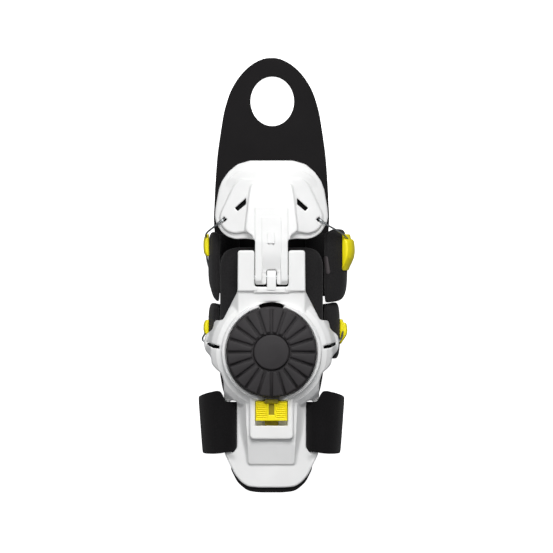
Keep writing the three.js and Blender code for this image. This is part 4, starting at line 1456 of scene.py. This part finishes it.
@dataclass
class ArchedPad:
    """A padded liner under one of the shells, thinner at its front where a slope is given."""

    name: str
    body: Body
    half: list[tuple[float, float]]
    axis_z: float
    inner_r: float
    outer_r: float
    edge: float
    front_drop: float = 0.0
    slope: tuple[float, float] = (8.0, 9.5)

    def top(self, points: Array) -> Array:
        """The height of the pad's top."""
        start, length = self.slope
        fall = self.front_drop * np.clip((points[:, 1] - start) / length, 0, 1) ** 2
        return arch(points[:, 0], self.outer_r, self.axis_z) - fall

    def underside(self, points: Array) -> Array:
        """The height of its underside."""
        return arch(points[:, 0], self.inner_r, self.axis_z)

    def build(self, finishes: Finishes) -> None:
        """Makes the pad."""
        outline = subdivided(rounded(facing(mirrored(self.half), True), 3.0), 0.9)
        shell = ReliefShell(
            outline, self.top, self.underside, edge=self.edge, lower_edge=self.edge, spacing=2.0
        )
        piece = mesh_piece(self.name, *shell.build(), finishes.knit, SOFT_DEG)
        settle(piece, self.body, self.name)


@dataclass
class PalmTongue:
    """The thin sheet under the palm, with its finger hole and rounded edge."""

    thickness: float = 1.8
    hole: tuple[float, float, float, float] = (0.5, 114.4, 14.4, 16.3)

    def build(self, finishes: Finishes) -> None:
        """Makes the sheet."""
        outline = flowing(facing(mirrored([(0.0, 143.2), *TONGUE_HALF]), True), 0.8)
        hole = circle(*self.hole, 200)
        shell = ReliefShell(
            outline, level(self.thickness), level(0.0), [hole], edge=0.8, lower_edge=0.6, spacing=2.2
        )
        piece = mesh_piece("palm_tongue", *shell.build(), finishes.palm, SOFT_DEG)
        settle(piece, Body.FOREARM, "palm_tongue")


@dataclass
class WallPatch:
    """The small raised patch on the right wall at the hand, part of the wall's piece."""

    middle: tuple[float, float] = (36.5, 5.9)
    half_width: float = 1.5
    half_length: float = 6.0
    tilt_deg: float = 10.0
    height: float = 0.5

    def make(self, wall: Piece, finishes: Finishes) -> Piece:
        """The patch, laid on the wall's surface."""
        rings = []
        turn = math.radians(self.tilt_deg)
        across = np.linspace(-1, 1, 15)
        for t in np.linspace(-1, 1, 41):
            run = self.half_length * t
            rest = max(abs(run) - (self.half_length - self.half_width), 0) / self.half_width
            half = max(self.half_width * math.sqrt(max(1 - rest * rest, 0)), 0.03)
            row = []
            for s in across:
                x = self.middle[0] + half * s * math.cos(turn) + run * math.sin(turn)
                y = self.middle[1] + half * s * math.sin(turn) - run * math.cos(turn)
                hit, place, _, _ = wall.ray_cast((x * MM, y * MM, 0.2), (0, 0, -1))
                base = place.z / MM if hit else 30.0
                row.append((x, y, base + self.height * (1 - s**4) * (1 - t**8)))
            top = np.array(row)
            low = top[::-1] - (0, 0, 1.2)
            rings.append(np.vstack([top, low]))
        return mesh_piece("patch", *lofted(rings), finishes.patch, 60)


@dataclass
class SideWall:
    """One padded wall beside the hand or the wrist."""

    name: str
    table: Table
    patch: WallPatch | None = None
    power: float = 3.4

    def build(self, finishes: Finishes) -> None:
        """Makes the wall."""
        rows = capped(band_rows(self.table, 60), 1.6, 80)
        piece = mesh_piece(self.name, *band(rows, superellipse(self.power, 72)), finishes.knit, SOFT_DEG)
        if self.patch:
            piece = joined(self.name, [piece, self.patch.make(piece, finishes)])
        settle(piece, Body.FOREARM, self.name)


@dataclass
class CableGuide:
    """A yellow guide on the outside of a wall, higher in its middle."""

    name: str
    wall: Table
    side: Side
    sizes: tuple[int, int, float, float, float]
    gap: float = 0.3

    def section(self) -> Array:
        """The guide's section: along Y, and out from the wall, both from -0.5 to 0.5."""
        table = RIGHT_GUIDE_SECTION if self.side is Side.RIGHT else LEFT_GUIDE_SECTION
        loop = subdivided(rounded(np.array(table), 0.07, 4), 0.04) - 0.5
        return loop * (1, self.side.value)

    def build(self, finishes: Finishes) -> None:
        """Makes the guide."""
        first, last, y0, y1, thickness = self.sizes
        wall = band_rows(self.wall, 15)
        lift = wall[:, 4] / 2 + self.gap + thickness / 2
        place = wall[:, :2] + outward(wall, self.side.value) * lift[:, None]
        rows = np.column_stack([place, np.full(15, y0), np.full(15, y1), np.full(15, thickness)])
        rows = capped(band_rows(rows[first : last + 1], 60), 1.3, 50)
        piece = mesh_piece(self.name, *band(rows, self.section()), finishes.yellow, 50)
        settle(piece, Body.FOREARM, self.name)


def on_wall(table: Table, side: Side, row: int, y: float, lift: float) -> tuple[float, float, float]:
    """A point on the outside of a wall, raised off it."""
    wall = band_rows(table, 15)
    nx, nz = outward(wall, side.value)[row]
    reach = wall[row, 4] / 2 + lift
    return float(wall[row, 0] + nx * reach), y, float(wall[row, 1] + nz * reach)


@dataclass
class Cable:
    """A cable from the hand plate, through a guide, across under the palm and into the other horn."""

    side: Side
    crossing: float
    hand_y: tuple[float, float, float, float]
    rope: WireRope = field(default_factory=WireRope)

    def path(self) -> Array:
        """The cable's middle line."""
        s = self.side.value
        other = Side(-s)
        hand, wrist = HAND_WINGS[self.side], WRIST_WINGS[other]
        hand_lift = 0.3 + HAND_GUIDES[self.side][4] / 2
        wrist_lift = 0.3 + WRIST_GUIDES[other][4] / 2
        points = [
            (s * 31.0, 36.6, 43.4),
            (s * 31.2, 36.4, 46.2),
            (s * 34.2, 33.8, 46.8),
            on_wall(hand, self.side, 2, 26.6, hand_lift + 2.2),
            on_wall(hand, self.side, 4, self.hand_y[0], hand_lift),
            on_wall(hand, self.side, 5, self.hand_y[1], hand_lift),
            on_wall(hand, self.side, 7, self.hand_y[2], hand_lift),
            on_wall(hand, self.side, 9, self.hand_y[3], 1.8),
            (s * 32.0, -8.4, 1.2),
            (s * 18.0, -12.0, 1.2),
            (0.0, -15.5, self.crossing),
            (-s * 18.0, -19.4, 1.2),
            (-s * 30.0, -23.4, 1.2),
            on_wall(wrist, other, 9, -28.0, 1.7),
            on_wall(wrist, other, 7, -33.5, wrist_lift),
            on_wall(wrist, other, 5, -35.6, wrist_lift),
            on_wall(wrist, other, 4, -38.0, wrist_lift),
            (-s * 45.4, -43.4, 30.6),
            (-s * 42.2, -46.0, 32.4),
            (-s * 37.6, -46.6, 34.6),
        ]
        return smoothed(points, 400, 0.5)

    def build(self, finishes: Finishes) -> None:
        """Makes the cable."""
        name = "cable_" + self.side.word
        piece = self.rope.sweep(name, self.path(), finishes.rope)
        settle(piece, None, name)
        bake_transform(piece)


@dataclass
class ForearmStrap:
    """The wide soft strap through both slots of the shell."""

    slant: float = 0.075
    middle_y: float = -101.0

    def build(self, finishes: Finishes) -> None:
        """Makes the strap. Beside the shell its two edges lean together towards the tail."""
        table = STRAP_HALF + [(-x, z, *rest) for x, z, *rest in reversed(STRAP_HALF)]
        rows = capped(band_rows(table, 260), 1.0, 300)
        points, faces = band(rows, superellipse(8, 64))
        out = np.clip((np.abs(points[:, 0]) - 31) / 12, 0, 1)
        points[:, 0] += np.sign(points[:, 0]) * out * self.slant * (points[:, 1] - self.middle_y)
        piece = mesh_piece("forearm_strap", points, faces, finishes.loop, SOFT_DEG)
        settle(piece, Body.FOREARM, "forearm_strap")


@dataclass
class HingePin:
    """The steel pin of the wrist hinge, domed and chamfered at its ends."""

    radius: float = 1.5
    half_length: float = 19.0
    steps: int = 48

    def build(self, finishes: Finishes) -> None:
        """Makes the pin."""
        end, r = self.half_length, self.radius
        half = [(r, end - 0.45), (r - 0.1, end - 0.15), (1.0, end), (0.02, end)]
        profile = [(r, -x) for r, x in reversed(half)] + half
        angle = np.linspace(0, 2 * np.pi, self.steps, endpoint=False)
        y, z, flat = np.cos(angle), np.sin(angle), np.ones(self.steps)
        rings = [np.column_stack([x * flat, HINGE_Y + r * y, HINGE_Z + r * z]) for r, x in profile]
        settle(mesh_piece("hinge_pin", *lofted(rings), finishes.pin), Body.FOREARM, "hinge_pin")


# The studio

# Each lamp's name, place in metres, width in metres and power in watts
LAMPS = [
    ("above", (0.1, 1.0, 1.5), 0.9, 26.2),
    ("left", (-1.2, 0.3, 1.1), 0.6, 5.0),
    ("right", (1.2, 0.2, 1.2), 0.6, 3.4),
]


@dataclass
class Studio:
    """A white table under soft light, seen from straight above."""

    middle: tuple[float, float, float] = (0.0033, -0.00165, 0.0)
    height: float = 8.0
    view_width: float = 0.365
    aim_z: float = 0.03
    sensor: float = 36.0
    reach: float = 4000.0
    glow: float = 0.92
    sky: float = 0.2

    def light(self, name: str, place: tuple[float, float, float], size: float, power: float) -> None:
        """A square area light that faces the object."""
        lamp = bpy.data.lights.new(name, "AREA")
        lamp.shape = "SQUARE"
        lamp.size = size
        lamp.energy = power
        holder = bpy.data.objects.new(name, lamp)
        holder.location = place
        aim = Vector((0, 0, self.aim_z)) - Vector(place)
        holder.rotation_euler = aim.to_track_quat("-Z", "Y").to_euler()
        bpy.context.scene.collection.objects.link(holder)

    def floor(self) -> None:
        """The table. It lights itself a little, so that no shadow greys it, and sends no light back."""
        material, _, shader = new_material("white_table")
        white = linear("#ffffff")
        shader.inputs["Base Color"].default_value = white
        shader.inputs["Roughness"].default_value = 1.0
        shader.inputs["Specular IOR Level"].default_value = 0.0
        shader.inputs["Emission Color"].default_value = white
        shader.inputs["Emission Strength"].default_value = self.glow
        x, z = self.reach, -0.4
        corners = [(-x, -x, z), (x, -x, z), (x, x, z), (-x, x, z)]
        table = mesh_piece("table", np.array(corners), [(0, 1, 2, 3)], material)
        table.visible_diffuse = False
        table.visible_glossy = False

    def build(self) -> None:
        """Makes the world, the lights, the table and the camera."""
        scene = bpy.context.scene
        scene.view_settings.view_transform = "Standard"
        world = bpy.data.worlds.new("studio")
        world.use_nodes = True
        world.node_tree.nodes["Background"].inputs["Color"].default_value = linear("#f4f6fa")
        world.node_tree.nodes["Background"].inputs["Strength"].default_value = self.sky
        scene.world = world
        self.floor()
        for name, place, size, power in LAMPS:
            self.light(name, place, size, power)
        lens = bpy.data.cameras.new("camera")
        lens.sensor_width = self.sensor
        lens.lens = self.sensor * (self.height - self.aim_z) / self.view_width
        camera = bpy.data.objects.new("camera", lens)
        camera.location = (self.middle[0], self.middle[1], self.height)
        scene.collection.objects.link(camera)
        scene.camera = camera


def main() -> None:
    """Builds the wrist guard piece by piece."""
    logging.basicConfig(level=logging.INFO, format="%(message)s")
    Studio().build()
    finishes = Finishes()
    ForearmFrame().build(finishes)
    HandPlate().build(finishes)
    HingePin().build(finishes)
    Dial().build(finishes)
    ReleaseLatch().build(finishes)
    liner_radii, pad_radii = (LINER_INNER_R, LINER_OUTER_R), (PAD_INNER_R, PAD_OUTER_R)
    ArchedPad("dorsal_liner", Body.FOREARM, LINER_HALF, ARCH_AXIS_Z, *liner_radii, 2.0, 1.8).build(finishes)
    ArchedPad("hand_pad", Body.HAND, HAND_PAD_HALF, HAND_AXIS_Z, *pad_radii, 1.4).build(finishes)
    PalmTongue().build(finishes)
    for side in Side:
        patch = WallPatch() if side is Side.RIGHT else None
        SideWall("hand_wing_" + side.word, HAND_WINGS[side], patch).build(finishes)
        SideWall("wrist_wing_" + side.word, WRIST_WINGS[side]).build(finishes)
        CableGuide("hand_guide_" + side.word, HAND_WINGS[side], side, HAND_GUIDES[side]).build(finishes)
        CableGuide("wrist_guide_" + side.word, WRIST_WINGS[side], side, WRIST_GUIDES[side]).build(finishes)
    Cable(Side.RIGHT, 1.1, (22.0, 15.0, 8.0, 0.0)).build(finishes)
    Cable(Side.LEFT, 3.0, (23.0, 20.0, 16.0, 3.0)).build(finishes)
    ForearmStrap().build(finishes)


if __name__ == "__main__":
    main()
